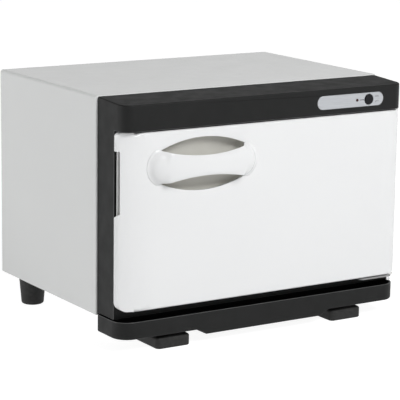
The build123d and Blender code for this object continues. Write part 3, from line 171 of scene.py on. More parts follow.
def add_gloss(material, value, low, high):
    """Let a texture vary the roughness."""
    tree = material.node_tree
    tree.links.new(between(material, value, low, high), tree.nodes["Principled BSDF"].inputs["Roughness"])


def add_tone(material, value, dark, light):
    """Let a texture vary the colour between two tones."""
    tree = material.node_tree
    mix = tree.nodes.new("ShaderNodeMix")
    mix.data_type = "RGBA"
    mix.inputs["A"].default_value = (*dark, 1)
    mix.inputs["B"].default_value = (*light, 1)
    tree.links.new(between(material, value, 0, 1), mix.inputs["Factor"])
    tree.links.new(mix.outputs["Result"], tree.nodes["Principled BSDF"].inputs["Base Color"])


print("material helpers ready")

# %% [markdown]
# ## Painted steel
# The case is folded steel with a baked white paint. Such paint is never quite flat: it has a faint
# orange peel, waves a few millimetres long and a few microns deep, which only shows in reflections.
# A stronger bump would look like plaster.

# %% White enamel
enamel = new_finish("white enamel", (0.74, 0.75, 0.745), 0.24, specular=0.3)
add_tone(enamel, noise(enamel, 90 * mm), (0.735, 0.745, 0.74), (0.745, 0.755, 0.75))
add_bump(enamel, noise(enamel, 2.5 * mm), 0.0015 * mm)
add_gloss(enamel, noise(enamel, 25 * mm), 0.22, 0.27)

# %% Zinc-plated steel for what is under the paint
zinc = new_finish("zinc plated steel", (0.62, 0.63, 0.64), 0.38, metallic=1.0)
add_tone(zinc, noise(zinc, 9 * mm, 4), (0.55, 0.56, 0.58), (0.70, 0.71, 0.71))
add_gloss(zinc, noise(zinc, 4 * mm), 0.30, 0.48)

# %% [markdown]
# ## Moulded plastics
# The header, frame and tray are black plastic from a tool with a fine eroded texture, a bump of a
# hundredth of a millimetre. Its own colour could be a dark grey, but then it would look the same
# from everywhere. It is nearly black here, and most of the grey that shows is the white paper,
# dimly reflected. The door is a smoother white with a ripple of two microns. On both the gloss
# varies slowly, because plastic shrinks unevenly where it is thick.

# %% Black mouldings
black_plastic = new_finish("black moulding", (0.0095, 0.0099, 0.0098), 0.50, specular=0.20)
add_tone(black_plastic, noise(black_plastic, 30 * mm), (0.0085, 0.0089, 0.0088), (0.0105, 0.0109, 0.0108))
add_bump(black_plastic, noise(black_plastic, 0.45 * mm, 3), 0.01 * mm)
add_gloss(black_plastic, noise(black_plastic, 14 * mm), 0.50, 0.60)

# The edge material is several times lighter in colour than the black: a painted highlight standing in for
# the bright lines along the black edges. Its lower roughness is real gloss.
black_edge_painted_highlight = new_finish("black edge with painted highlight", (0.075, 0.077, 0.077), 0.22, specular=0.5)
add_tone(black_edge_painted_highlight, noise(black_edge_painted_highlight, 20 * mm), (0.085, 0.088, 0.088), (0.115, 0.118, 0.118))

# %% White mouldings
white_plastic = new_finish("white moulding", (0.865, 0.872, 0.877), 0.20)
add_tone(white_plastic, noise(white_plastic, 120 * mm), (0.86, 0.867, 0.872), (0.87, 0.877, 0.882))
add_bump(white_plastic, noise(white_plastic, 6 * mm), 0.002 * mm)
add_gloss(white_plastic, noise(white_plastic, 30 * mm), 0.18, 0.22)

panel_plastic = new_finish("white inner panel", (0.84, 0.845, 0.84), 0.42)
add_bump(panel_plastic, noise(panel_plastic, 0.6 * mm, 3), 0.015 * mm)
add_gloss(panel_plastic, noise(panel_plastic, 18 * mm), 0.38, 0.47)

bowl_plastic = new_finish("warm grey bowl", (0.62, 0.61, 0.565), 0.45)
add_tone(bowl_plastic, noise(bowl_plastic, 12 * mm), (0.61, 0.60, 0.555), (0.63, 0.62, 0.575))
add_bump(bowl_plastic, noise(bowl_plastic, 0.5 * mm, 3), 0.005 * mm)

# %% Switch plastics and the slippery plastic of bushes and guides
switch_plastic = new_finish("black switch plastic", (0.02, 0.02, 0.02), 0.35, specular=0.3)
add_bump(switch_plastic, noise(switch_plastic, 0.4 * mm), 0.01 * mm)
add_gloss(switch_plastic, noise(switch_plastic, 6 * mm), 0.30, 0.42)

button_plastic = new_finish("satin black button", (0.010, 0.010, 0.012), 0.30, specular=0.15)
add_gloss(button_plastic, noise(button_plastic, 2 * mm), 0.26, 0.34)

acetal = new_finish("white acetal", (0.80, 0.80, 0.77), 0.40)
add_tone(acetal, noise(acetal, 3 * mm), (0.78, 0.78, 0.75), (0.82, 0.82, 0.79))

# %% [markdown]
# ## Metals, rubber and insulation
# The rest follows the same way. Brushed and rolled metal is noise stretched along the lines of the
# tool that made it. Rubber is dark, rough and slightly dusty. Mineral wool is short fibres, noise
# stretched two ways.

# %% Metals
plate_metal = new_finish("brushed plate", (0.50, 0.515, 0.54), 0.45, metallic=0.3)
plate_brushing = noise(plate_metal, 0.5 * mm, 3, (0.04, 1, 1))
add_tone(plate_metal, plate_brushing, (0.46, 0.475, 0.50), (0.54, 0.555, 0.58))
add_bump(plate_metal, noise(plate_metal, 0.3 * mm, 2, (0.03, 1, 1)), 0.003 * mm)

# The lower hinge bracket gets this steel, darker and rougher than the zinc of its slot.
hinge_steel = new_finish("darker steel", (0.30, 0.30, 0.30), 0.50, metallic=0.7)
add_tone(hinge_steel, noise(hinge_steel, 4 * mm, 3), (0.26, 0.26, 0.26), (0.34, 0.34, 0.34))
add_gloss(hinge_steel, noise(hinge_steel, 2 * mm), 0.42, 0.58)

liner_metal = new_finish("rolled aluminium", (0.76, 0.77, 0.78), 0.30, metallic=1.0)
add_tone(liner_metal, noise(liner_metal, 1.2 * mm, 3, (1, 0.05, 1)), (0.70, 0.71, 0.72), (0.81, 0.82, 0.83))
add_gloss(liner_metal, noise(liner_metal, 1.5 * mm, 2, (1, 0.05, 1)), 0.24, 0.38)

bright_steel = new_finish("bright steel", (0.70, 0.70, 0.71), 0.22, metallic=1.0)
add_tone(bright_steel, noise(bright_steel, 2 * mm), (0.62, 0.62, 0.64), (0.76, 0.76, 0.76))

rack_wire = new_finish("plated wire", (0.74, 0.74, 0.75), 0.14, metallic=1.0)
add_gloss(rack_wire, noise(rack_wire, 5 * mm), 0.10, 0.20)

# %% Rubber, silicone, ceramic and mineral wool
foot_rubber = new_finish("black rubber", (0.014, 0.014, 0.014), 0.60, specular=0.27)
add_tone(foot_rubber, noise(foot_rubber, 4 * mm, 4), (0.016, 0.016, 0.016), (0.028, 0.028, 0.027))
add_bump(foot_rubber, noise(foot_rubber, 0.5 * mm, 2), 0.02 * mm)

gasket_silicone = new_finish("grey silicone", (0.55, 0.56, 0.56), 0.50)
add_bump(gasket_silicone, noise(gasket_silicone, 1.2 * mm), 0.02 * mm)
add_tone(gasket_silicone, noise(gasket_silicone, 20 * mm), (0.52, 0.53, 0.53), (0.58, 0.59, 0.59))

heater_silicone = new_finish("red silicone", (0.42, 0.10, 0.05), 0.55)
add_bump(heater_silicone, noise(heater_silicone, 1.0 * mm, 2, (1, 0.2, 1)), 0.05 * mm)
add_tone(heater_silicone, noise(heater_silicone, 15 * mm), (0.38, 0.09, 0.045), (0.46, 0.11, 0.055))

ceramic = new_finish("white ceramic", (0.78, 0.76, 0.70), 0.35)
add_bump(ceramic, noise(ceramic, 0.8 * mm), 0.02 * mm)

wool = new_finish("mineral wool", (0.62, 0.56, 0.36), 0.95)
add_tone(wool, noise(wool, 2 * mm, 5, (1, 0.3, 1)), (0.50, 0.44, 0.26), (0.74, 0.69, 0.50))
add_bump(wool, noise(wool, 1.5 * mm, 5, (0.3, 1, 1)), 1.0 * mm)

# %% The pilot light's lens and the printing ink
lens_plastic = new_finish("dark lens", (0.05, 0.008, 0.008), 0.10)
add_gloss(lens_plastic, noise(lens_plastic, 1 * mm), 0.08, 0.14)

ink = new_finish("grey ink", (0.05, 0.055, 0.06), 0.55)
add_tone(ink, noise(ink, 0.4 * mm), (0.045, 0.05, 0.055), (0.065, 0.07, 0.075))

# %% [markdown]
# ## Which finish goes where
# The record already says what each node is made of, so the finish is looked up by its material
# slot. Only the slot's name ties the two together. A material is put in the node's own slot, and
# its mesh isn't touched.

# %% Give every node its finish
finish_of_slot = {
    "white_enamel": enamel,
    "zinc_steel": zinc,
    "black_moulding": black_plastic,
    "white_moulding": white_plastic,
    "white_panel": panel_plastic,
    "grey_cup": bowl_plastic,
    "plate_metal": plate_metal,
    "black_button": button_plastic,
    "switch_black": switch_plastic,
    "lens_clear": lens_plastic,
    "lamp_neutral": ceramic,
    "liner_metal": liner_metal,
    "mineral_wool": wool,
    "heater_silicone": heater_silicone,
    "ceramic_white": ceramic,
    "gasket_rubber": gasket_silicone,
    "foot_rubber": foot_rubber,
    "acetal_white": acetal,
    "bright_steel": bright_steel,
    "rack_wire": rack_wire,
}
slot_of_node = {part["node"]: part["material_slot"] for part in frame["record"]["subparts"]}
for name, node in nodes.items():
    node.data.materials.clear()
    node.data.materials.append(finish_of_slot[slot_of_node[name]])
# The lower hinge bracket takes the darker steel in place of zinc.
nodes["lower_hinge_bracket"].data.materials[0] = hinge_steel
print("finished nodes:", len(slot_of_node))

# %% [markdown]
# ## Soft edges
# No real edge is perfectly sharp, and the thin bright line along each edge of the real cabinet is
# light caught by its rounding. The rounding could be modelled into every solid. A Bevel modifier
# does it without touching the mesh: Weld first joins the solid's faces, Bevel then rounds what
# meets at an angle, and Weighted Normal keeps the flat faces flat. On the black plastic the bevel
# takes a second material, glossier and several times lighter in colour than the black: that
# lighter colour is a painted highlight along the edges.

# %% Round the edges of the solids that show
same_point = 0.002 * mm
crease_angle = math.radians(35)


def soften(node, width, edge_painted_highlight=None):
    """Round a node's sharp edges by modifiers alone."""
    for polygon in node.data.polygons:
        polygon.use_smooth = True
    weld = node.modifiers.new("join faces", "WELD")
    weld.merge_threshold = same_point
    bevel = node.modifiers.new("round edges", "BEVEL")
    bevel.width = width
    bevel.segments = 2
    bevel.limit_method = "ANGLE"
    bevel.angle_limit = crease_angle
    bevel.use_clamp_overlap = False
    bevel.harden_normals = True
    # The edge material, where given, is lighter in colour: a painted highlight on the bevel.
    if edge_painted_highlight:
        node.data.materials.append(edge_painted_highlight)
        bevel.material = 1
    normals = node.modifiers.new("flat faces stay flat", "WEIGHTED_NORMAL")
    normals.keep_sharp = True


edge_rounding = {
    "outer_case": 0.3,
    "control_plate": 0.15,
    "rear_panel": 0.2,
    "base_panel": 0.2,
    "tray_guides": 0.3,
    "lower_hinge_bracket": 0.2,
    "chamber_liner": 0.15,
    "door_inner_panel": 0.3,
}
# The bevels of these black parts take the lighter edge material: a painted highlight along their edges.
painted_highlight_edge_rounding = {
    "front_frame": 0.35,
    "drip_tray": 0.35,
}
for name, width in edge_rounding.items():
    soften(nodes[name], width * mm)
for name, width in painted_highlight_edge_rounding.items():
    soften(nodes[name], width * mm, black_edge_painted_highlight)
print("softened:", len(edge_rounding) + len(painted_highlight_edge_rounding))

# %% [markdown]
# ## The door
# The real door is one moulding: a flat front that rolls away softly at the free edge, and a bar
# that grows out of it across a lens-shaped opening. The solid has the bar as a plain strip with
# square edges. There are two ways to get a soft bar: sculpt and subdivide a cage, or loft a
# changing section. A loft is used, since the bar's outline and its rise are curves that are known
# by measure, and a cage only comes near them.

# %% Measures of the door's bar and its opening
door_low, door_high = (Vector(corner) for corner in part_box("door_shell"))
bar_inset = 94.5 * mm
bar_drop = 36.4 * mm
bar_rise = 13 * mm
bar_thickness = 4.5 * mm
bar_half_length = 61.7 * mm
bar_waist_half = 10.4 * mm
opening_half_length = 49 * mm
opening_tip_half = 17.3 * mm
opening_apex = 27.3 * mm
opening_end_bulge = 3 * mm
door_wall = 2.5 * mm
door_face_y = door_low.y + bar_rise
bar_x = door_low.x + bar_inset
bar_z = door_high.z - bar_drop
print("bar centre:", [round(v / mm, 1) for v in (bar_x, door_face_y, bar_z)])

# %% Helpers for new meshes
tolerance = 0.01 * mm
halvings = 40


def new_piece(name, mesh_data, material, body):
    """An object that rides on a body of the frame, smooth and with a finish."""
    mesh = bpy.data.meshes.new(name)
    mesh_data.to_mesh(mesh)
    mesh_data.free()
    for polygon in mesh.polygons:
        polygon.use_smooth = True
    mesh.materials.append(material)
    piece = bpy.data.objects.new(name, mesh)
    bpy.context.scene.collection.objects.link(piece)
    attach(piece, body)
    return piece


def skin_rings(mesh_data, rings, closed=True):
    """Quads between rings that have the same number of points."""
    vertices = [[mesh_data.verts.new(point) for point in ring] for ring in rings]
    count = len(rings[0])
    last = count if closed else count - 1
    for lower, upper in zip(vertices, vertices[1:]):
        for i in range(last):
            j = (i + 1) % count
            mesh_data.faces.new((lower[i], lower[j], upper[j], upper[i]))
    return vertices


def sagitta_radius(half_chord, sagitta):
    """Radius of an arc from half its chord and its height."""
    return (half_chord ** 2 + sagitta ** 2) / (2 * sagitta)


def cubic(points, t):
    """A point on a cubic curve."""
    weights = ((1 - t) ** 3, 3 * (1 - t) ** 2 * t, 3 * (1 - t) * t ** 2, t ** 3)
    return tuple(sum(w * p[axis] for w, p in zip(weights, points)) for axis in range(2))


def height_at(points, distance):
    """Height of a curve whose distance falls steadily from its start to its end."""
    low, high = 0.0, 1.0
    for _ in range(halvings):
        middle = (low + high) / 2
        if cubic(points, middle)[0] > distance:
            low = middle
        else:
            high = middle
    return cubic(points, low)[1]


def smooth_step(low, high, value):
    """0 below low, 1 above high, and a smooth rise between."""
    t = min(max((value - low) / (high - low), 0), 1)
    return t * t * (3 - 2 * t)


print("mesh helpers ready")

# %% [markdown]
# ### The shell without its bar
# The shell's solid is right but for the bar. A copy of its mesh is cut along the door's face, which
# takes the strip off, and the two holes that this leaves are closed. The door's outer edges are
# already round in the solid, so only the rim of the opening still gets a Bevel, by weights on its
# edges. The solid itself stays hidden behind the copy for the simulation.

# %% The door's shell
rim_rounding = 0.6 * mm
rim_reach = opening_apex + 1 * mm
rim_angle = math.radians(60)


def on_face(vertex):
    """Whether a point lies on the flat front of the door."""
    return abs(vertex.co.y - door_face_y) < tolerance


def cut_shell():
    """The shell's mesh up to the face of the door, with the bar's footprints closed."""
    shell = bmesh.new()
    shell.from_mesh(nodes["door_shell"].data)
    bmesh.ops.remove_doubles(shell, verts=shell.verts, dist=same_point)
    bmesh.ops.bisect_plane(
        shell,
        geom=[*shell.verts, *shell.edges, *shell.faces],
        dist=0.001 * mm,
        plane_co=(0, door_face_y, 0),
        plane_no=(0, -1, 0),
        clear_outer=True,
    )
    rims = [edge for edge in shell.edges if edge.is_boundary]
    bmesh.ops.triangle_fill(shell, use_beauty=True, use_dissolve=False, edges=rims)
    bmesh.ops.recalc_face_normals(shell, faces=shell.faces)
    return shell


def weigh_rim(shell):
    """Mark the edges of the opening for the bevel."""
    weight = shell.edges.layers.float.new("bevel_weight_edge")
    marked = 0
    for edge in shell.edges:
        middle = (edge.verts[0].co + edge.verts[1].co) / 2
        near = abs(middle.x - bar_x) < bar_half_length and abs(middle.z - bar_z) < rim_reach
        if near and all(on_face(v) for v in edge.verts) and edge.calc_face_angle(0) > rim_angle:
            edge[weight] = 1
            marked += 1
    return marked


shell_mesh = cut_shell()
print("edges of the rim:", weigh_rim(shell_mesh))
door_skin = new_piece("door_skin", shell_mesh, white_plastic, "door")
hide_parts("door_shell")
door_skin.data.set_sharp_from_angle(angle=crease_angle)
rim_bevel = door_skin.modifiers.new("round the rim", "BEVEL")
rim_bevel.width = rim_rounding
rim_bevel.segments = 3
rim_bevel.limit_method = "WEIGHT"
rim_bevel.harden_normals = True
skin_normals = door_skin.modifiers.new("flat faces stay flat", "WEIGHTED_NORMAL")
skin_normals.keep_sharp = True
print("door skin faces:", len(door_skin.data.polygons))

# %% [markdown]
# ### The bar
# Each section of the bar is a flattened, nearly oval loop. Along the bar its height follows the
# opening's two arcs, and its depth follows a curve that leaves the door steeply and runs level in
# the middle. Near the door every point is pushed outwards along the outline, by what a quarter
# circle adds, which makes the concave foot that the moulding tool leaves there.

# %% The bar's outline and rise
bar_tip_half = 16.6 * mm
waist_radius = sagitta_radius(opening_half_length, bar_tip_half - bar_waist_half)
end_radius = sagitta_radius(bar_tip_half, bar_half_length - opening_half_length)
end_centre = bar_half_length - end_radius
blend_width = 1.5 * mm
root = opening_half_length + opening_end_bulge
end_fullness = 0.83
middle_fullness = 0.53
back_rise = bar_rise - bar_thickness
front_curve = (
    (bar_half_length, 0),
    (bar_half_length, end_fullness * bar_rise),
    (middle_fullness * bar_half_length, bar_rise),
    (0, bar_rise),
)
back_curve = (
    (root, -door_wall),
    (root, end_fullness * back_rise),
    (middle_fullness * bar_half_length, back_rise),
    (0, back_rise),
)
foot_radius = 4 * mm
sunk = -1.8 * mm


def bar_half_height(distance):
    """Half the bar's height at a distance from its middle: the waist's arc, blended into the end's."""
    waist = bar_waist_half + waist_radius - math.sqrt(waist_radius ** 2 - distance ** 2)
    end = math.sqrt(max(end_radius ** 2 - max(distance - end_centre, 0) ** 2, 0))
    nearness = max(blend_width - abs(waist - end), 0) / blend_width
    return min(waist, end) - nearness ** 2 * blend_width / 4


def foot_push(height):
    """How far the concave foot stands out at a height over the door's face."""
    rest = foot_radius - min(max(height, 0), foot_radius)
    return foot_radius - math.sqrt(foot_radius ** 2 - rest ** 2)


print("radius at the waist and the ends, mm:", round(waist_radius / mm, 1), round(end_radius / mm, 1))

# %% Loft the bar
section_points = 88
half_stations = 64
crowding = 0.6
station_crowding = 1.7
fullness_in_middle = 2.5
fullness_at_ends = 2.1
free_until = opening_half_length - 6 * mm
joined_from = opening_half_length + 1 * mm
foot_starts = opening_half_length - 3 * mm
foot_full_from = opening_half_length + 6 * mm


def bar_section(side, t):
    """One loop round the bar, at a place along its front curve from the end, 0, to the middle, 1."""
    distance, front = cubic(front_curve, t)
    free = 1 - smooth_step(free_until, joined_from, distance)
    footed = smooth_step(foot_starts, foot_full_from, distance)
    back_height = max(height_at(back_curve, distance), sunk) if distance < root else sunk
    middle = (front + back_height) / 2 * free
    half_height = bar_half_height(distance)
    power = 2 / (fullness_at_ends + (fullness_in_middle - fullness_at_ends) * free)
    loop = []
    for i in range(section_points):
        angle = 2 * math.pi * i / section_points
        angle -= crowding / 2 * math.sin(2 * angle)
        across = math.copysign(abs(math.cos(angle)) ** power, math.cos(angle)) * half_height
        swell = math.copysign(abs(math.sin(angle)) ** power, math.sin(angle))
        height = middle + swell * (front - middle if swell > 0 else middle - back_height)
        outward = Vector((max(distance - end_centre, 0), across))
        push = foot_push(height) * footed
        if outward.length > 0:
            outward *= push / outward.length
        x = bar_x + side * (distance + outward.x)
        loop.append((x, door_face_y - height, bar_z + across + outward.y))
    return loop


def loft_bar():
    """Sections from the left end over the middle to the right end."""
    steps = [(i / half_stations) ** station_crowding for i in range(half_stations + 1)]
    sections = [bar_section(-1, t) for t in steps] + [bar_section(1, t) for t in reversed(steps[:-1])]
    bar = bmesh.new()
    skin_rings(bar, sections)
    bmesh.ops.remove_doubles(bar, verts=bar.verts, dist=tolerance)
    bmesh.ops.recalc_face_normals(bar, faces=bar.faces)
    return bar


door_bar = new_piece("door_bar", loft_bar(), white_plastic, "door")
print("bar faces:", len(door_bar.data.polygons))

# %% [markdown]
# ### The bowl behind the bar
# Fingers reach into a shallow bowl, coloured a warm grey that is darker than the door. It could be
# a box with filleted corners, as in the solid. The moulded one is rounder, so it is made of rings: the
# opening's outline, shrunk step by step while it goes deeper along a full, flat-bottomed curve.

# %% The bowl
bowl_low, bowl_high = (Vector(corner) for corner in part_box("handle_cup"))
bowl_wall = 1.5 * mm
bowl_rim_y = bowl_low.y
bowl_depth = bowl_high.y - bowl_wall - bowl_rim_y
bowl_flange = 5 * mm
bowl_ledge = 1 * mm
bowl_rings = 24
bowl_fullness = 5
smallest_ring = 0.02
long_arc_points = 48
short_arc_points = 24


def arc_points(start, over, end, count):
    """Points on the arc through three points, the last one left out."""
    (ax, az), (bx, bz), (cx, cz) = start, over, end
    d = 2 * (ax * (bz - cz) + bx * (cz - az) + cx * (az - bz))
    a2, b2, c2 = ax ** 2 + az ** 2, bx ** 2 + bz ** 2, cx ** 2 + cz ** 2
    ux = (a2 * (bz - cz) + b2 * (cz - az) + c2 * (az - bz)) / d
    uz = (a2 * (cx - bx) + b2 * (ax - cx) + c2 * (bx - ax)) / d
    first = math.atan2(az - uz, ax - ux)
    turn = (math.atan2(cz - uz, cx - ux) - first + math.pi) % (2 * math.pi) - math.pi
    radius = math.hypot(ax - ux, az - uz)
    return [
        (ux + radius * math.cos(first + turn * i / count), uz + radius * math.sin(first + turn * i / count))
        for i in range(count)
    ]


def opening_outline(margin):
    """The lens-shaped opening, grown by a margin: two long arcs and two short ones."""
    half = opening_half_length + margin
    tip = opening_tip_half + margin
    apex = opening_apex + margin
    bulge = half + opening_end_bulge
    return (
        arc_points((-half, tip), (0, apex), (half, tip), long_arc_points)
        + arc_points((half, tip), (bulge, 0), (half, -tip), short_arc_points)
        + arc_points((half, -tip), (0, -apex), (-half, -tip), long_arc_points)
        + arc_points((-half, -tip), (-bulge, 0), (-half, tip), short_arc_points)
    )


def bowl_ring(outline, scale, y):
    """One ring of the bowl."""
    return [(bar_x + x * scale, y, bar_z + z * scale) for x, z in outline]


def form_bowl():
    """The flange behind the door's wall, then rings down to the floor, all facing out of the bowl."""
    bowl = bmesh.new()
    inner = opening_outline(bowl_ledge)
    rings = [bowl_ring(opening_outline(bowl_flange), 1, bowl_rim_y)]
    for i in range(bowl_rings + 1):
        angle = math.pi / 2 * i / bowl_rings
        scale = math.cos(angle) ** (2 / bowl_fullness)
        depth = math.sin(angle) ** (2 / bowl_fullness)
        rings.append(bowl_ring(inner, max(scale, smallest_ring), bowl_rim_y + bowl_depth * depth))
    vertices = skin_rings(bowl, rings)
    bowl.faces.new(vertices[-1])
    bmesh.ops.recalc_face_normals(bowl, faces=bowl.faces)
    if any(face.normal.y > 0.5 for face in bowl.faces):
        bmesh.ops.reverse_faces(bowl, faces=bowl.faces)
    return bowl


door_bowl = new_piece("door_bowl", form_bowl(), bowl_plastic, "door")
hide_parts("handle_cup")
bowl_shell = door_bowl.modifiers.new("wall", "SOLIDIFY")
bowl_shell.thickness = bowl_wall
bowl_shell.offset = -1
print("bowl depth, mm:", round(bowl_depth / mm, 2))

# %% [markdown]
# ## The control plate's legends
# The plate is printed with plain marks: ON and OFF beside the button, and a fine line that ties the
# light to it. Text objects could stay text. They are turned into meshes as thin as ink, so that
# they export like any other piece. The line is a thin strip made from points.

# %% Ink on the plate
plate_low, plate_high = (Vector(corner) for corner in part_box("control_plate"))
button_low, button_high = (Vector(corner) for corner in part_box("button_cap"))
lens_low, lens_high = (Vector(corner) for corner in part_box("pilot_lens"))
ink_thickness = 0.05 * mm
letter_spacing = 1.15
plate_z = (plate_low.z + plate_high.z) / 2
button_x = (button_low.x + button_high.x) / 2
button_radius = (button_high.x - button_low.x) / 2
lens_x = (lens_low.x + lens_high.x) / 2


def printed_word(name, words, x, z, height):
    """A word in ink on the plate, centred on a point."""
    curve = bpy.data.curves.new(name, "FONT")
    curve.body = words
    curve.size = height
    curve.align_x = "CENTER"
    curve.align_y = "CENTER"
    curve.extrude = ink_thickness / 2
    curve.space_character = letter_spacing
    text = bpy.data.objects.new(name, curve)
    bpy.context.scene.collection.objects.link(text)
    mesh = bpy.data.meshes.new_from_object(text)
    bpy.data.objects.remove(text)
    mesh.transform(Matrix.Translation((x, plate_low.y, z)) @ Matrix.Rotation(math.pi / 2, 4, "X"))
    word = bpy.data.objects.new(name, mesh)
    mesh.materials.clear()
    mesh.materials.append(ink)
    bpy.context.scene.collection.objects.link(word)
    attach(word, "cabinet")
    return word


def printed_stroke(name, points, width):
    """A line of ink along points on the plate."""
    stroke = bmesh.new()
    rings = []
    for i, (x, z) in enumerate(points):
        before = points[max(i - 1, 0)]
        after = points[min(i + 1, len(points) - 1)]
        along = Vector((after[0] - before[0], after[1] - before[1])).normalized()
        side = Vector((-along.y, along.x)) * width / 2
        front = plate_low.y - ink_thickness
        rings.append([
            (x - side.x, plate_low.y + ink_thickness, z - side.y),
            (x - side.x, front, z - side.y),
            (x + side.x, front, z + side.y),
            (x + side.x, plate_low.y + ink_thickness, z + side.y),
        ])
    vertices = skin_rings(stroke, rings)
    stroke.faces.new(vertices[0])
    stroke.faces.new(vertices[-1])
    bmesh.ops.recalc_face_normals(stroke, faces=stroke.faces)
    return new_piece(name, stroke, ink, "cabinet")


word_height = 2.6 * mm
word_rise = 2.7 * mm
word_x = button_x + button_radius + 5.0 * mm
printed_word("legend_on", "ON", word_x, plate_z + word_rise, word_height)
printed_word("legend_off", "OFF", word_x, plate_z - word_rise, word_height)
lens_radius = (lens_high.x - lens_low.x) / 2
line_gap = 0.8 * mm
line_width = 0.6 * mm
line_from = lens_x + lens_radius + line_gap
line_to = button_x - button_radius - line_gap
printed_stroke("legend_line", [(line_from, plate_z), (line_to, plate_z)], line_width)
print("legends printed at z", round(plate_z / mm, 1))

# %% [markdown]
# ## Floor and light
# The cabinet stands on white paper. The world gives an even light, a little stronger from the
# horizon than from above. A soft lamp in front, a little to the right, lights the door, whose
# rolled left edge falls off into shade. A wide one at the left lifts the case's side, and a small
# one overhead puts glints on the edges. The paper could be made white by brighter lamps, but then
# the door would burn out too. So the camera and reflections see a white of its own, by Light Path,
# and the lamps stay at the level at which a colour renders about as written. Higher up, where the
# paper ends, reflections see a darker room: a room that is white all over would veil the case's top
# and the black header.

# %% The world
level_at_horizon = 0.37
level_overhead = 0.16
paper_ends_at, room_begins_at = 0.05, 0.45
room_level = 0.35
world = bpy.data.worlds.new("studio")
bpy.context.scene.world = world
world.use_nodes = True
world_tree = world.node_tree
world_tree.nodes.clear()
seen_by = world_tree.nodes.new("ShaderNodeLightPath")


def seen_directly(tree, path):
    """1 for rays from the camera or by way of a mirror or a window, 0 for light that spreads."""
    total = path.outputs["Is Camera Ray"]
    for kind in ("Is Glossy Ray", "Is Transmission Ray"):
        either = tree.nodes.new("ShaderNodeMath")
        either.operation = "MAXIMUM"
        tree.links.new(total, either.inputs[0])
        tree.links.new(path.outputs[kind], either.inputs[1])
        total = either.outputs[0]
    return total


even_light = world_tree.nodes.new("ShaderNodeBackground")
even_light.inputs["Color"].default_value = (1, 1, 1, 1)
world_place = world_tree.nodes.new("ShaderNodeTexCoord")
world_axes = world_tree.nodes.new("ShaderNodeSeparateXYZ")
world_height = world_tree.nodes.new("ShaderNodeMapRange")
world_height.inputs["To Min"].default_value = level_at_horizon
world_height.inputs["To Max"].default_value = level_overhead
world_tree.links.new(world_place.outputs["Generated"], world_axes.inputs[0])
world_tree.links.new(world_axes.outputs["Z"], world_height.inputs["Value"])
world_tree.links.new(world_height.outputs["Result"], even_light.inputs["Strength"])
white_paper = world_tree.nodes.new("ShaderNodeBackground")
white_paper.inputs["Color"].default_value = (1, 1, 1, 1)
paper_fades = world_tree.nodes.new("ShaderNodeMapRange")
paper_fades.inputs["From Min"].default_value = paper_ends_at
paper_fades.inputs["From Max"].default_value = room_begins_at
paper_fades.inputs["To Min"].default_value = 1.0
paper_fades.inputs["To Max"].default_value = room_level
world_tree.links.new(world_axes.outputs["Z"], paper_fades.inputs["Value"])
world_tree.links.new(paper_fades.outputs["Result"], white_paper.inputs["Strength"])
world_mix = world_tree.nodes.new("ShaderNodeMixShader")
world_output = world_tree.nodes.new("ShaderNodeOutputWorld")
world_tree.links.new(seen_directly(world_tree, seen_by), world_mix.inputs["Fac"])
world_tree.links.new(even_light.outputs[0], world_mix.inputs[1])
world_tree.links.new(white_paper.outputs[0], world_mix.inputs[2])
world_tree.links.new(world_mix.outputs[0], world_output.inputs["Surface"])
print("world level, horizon and overhead:", level_at_horizon, level_overhead)

# %% The paper floor
paper_bounce = 0.93
paper_shading = 0.32
paper_own_white = 0.92
floor_half = 12.0

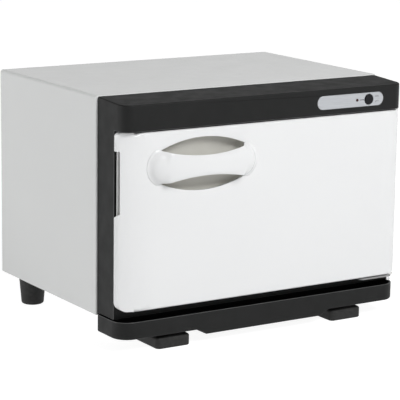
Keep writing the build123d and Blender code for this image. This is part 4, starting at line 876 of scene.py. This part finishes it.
paper = bpy.data.materials.new("white paper")
paper.use_nodes = True
paper_tree = paper.node_tree
paper_tree.nodes.clear()
paper_path = paper_tree.nodes.new("ShaderNodeLightPath")
paper_face = paper_tree.nodes.new("ShaderNodeBsdfDiffuse")
paper_face.inputs["Color"].default_value = (paper_bounce, paper_bounce, paper_bounce, 1)
paper_shade = paper_tree.nodes.new("ShaderNodeBsdfDiffuse")
paper_shade.inputs["Color"].default_value = (paper_shading, paper_shading, paper_shading, 1)
paper_glow = paper_tree.nodes.new("ShaderNodeEmission")
paper_glow.inputs["Strength"].default_value = paper_own_white
paper_seen = paper_tree.nodes.new("ShaderNodeAddShader")
paper_mix = paper_tree.nodes.new("ShaderNodeMixShader")
paper_output = paper_tree.nodes.new("ShaderNodeOutputMaterial")
paper_tree.links.new(paper_shade.outputs[0], paper_seen.inputs[0])
paper_tree.links.new(paper_glow.outputs[0], paper_seen.inputs[1])
paper_tree.links.new(seen_directly(paper_tree, paper_path), paper_mix.inputs["Fac"])
paper_tree.links.new(paper_face.outputs[0], paper_mix.inputs[1])
paper_tree.links.new(paper_seen.outputs[0], paper_mix.inputs[2])
paper_tree.links.new(paper_mix.outputs[0], paper_output.inputs["Surface"])

floor_corners = [
    (-floor_half, -floor_half, 0),
    (floor_half, -floor_half, 0),
    (floor_half, floor_half, 0),
    (-floor_half, floor_half, 0),
]
floor_mesh = bpy.data.meshes.new("floor")
floor_mesh.from_pydata(floor_corners, [], [(0, 1, 2, 3)])
floor_mesh.materials.append(paper)
floor = bpy.data.objects.new("floor", floor_mesh)
bpy.context.scene.collection.objects.link(floor)
print("floor, metres across:", 2 * floor_half)

# %% The lamps
def soft_lamp(name, place, aim, size, power):
    """A square area lamp that looks at a point."""
    lamp = bpy.data.objects.new(name, bpy.data.lights.new(name, "AREA"))
    lamp.data.shape = "SQUARE"
    lamp.data.size = size
    lamp.data.energy = power
    lamp.location = place
    lamp.rotation_euler = (Vector(aim) - Vector(place)).to_track_quat("-Z", "Y").to_euler()
    bpy.context.scene.collection.objects.link(lamp)
    return lamp


cabinet_middle = Vector((0, -0.1, 0.13))


def lamp_from(name, direction, distance, size, level):
    """A lamp that lights a white surface facing it to the given level, where 1 is white."""
    towards = Vector(direction).normalized()
    power = level * math.pi ** 2 * distance ** 2
    return soft_lamp(name, cabinet_middle + distance * towards, cabinet_middle, size, power)


key_lamp = lamp_from("key lamp", (0.14, -0.74, 0.66), 2.3, 0.8, 0.62)
side_lamp = lamp_from("side lamp", (-0.95, 0.28, 0.12), 2.0, 1.0, 0.34)
glint_lamp = lamp_from("glint lamp", (0.45, -0.25, 0.86), 1.8, 0.25, 0.04)
for lamp in (key_lamp, side_lamp, glint_lamp):
    print(lamp.name, "watts:", round(lamp.data.energy, 1))

# %% Finish
bpy.context.scene.view_settings.view_transform = "Standard"
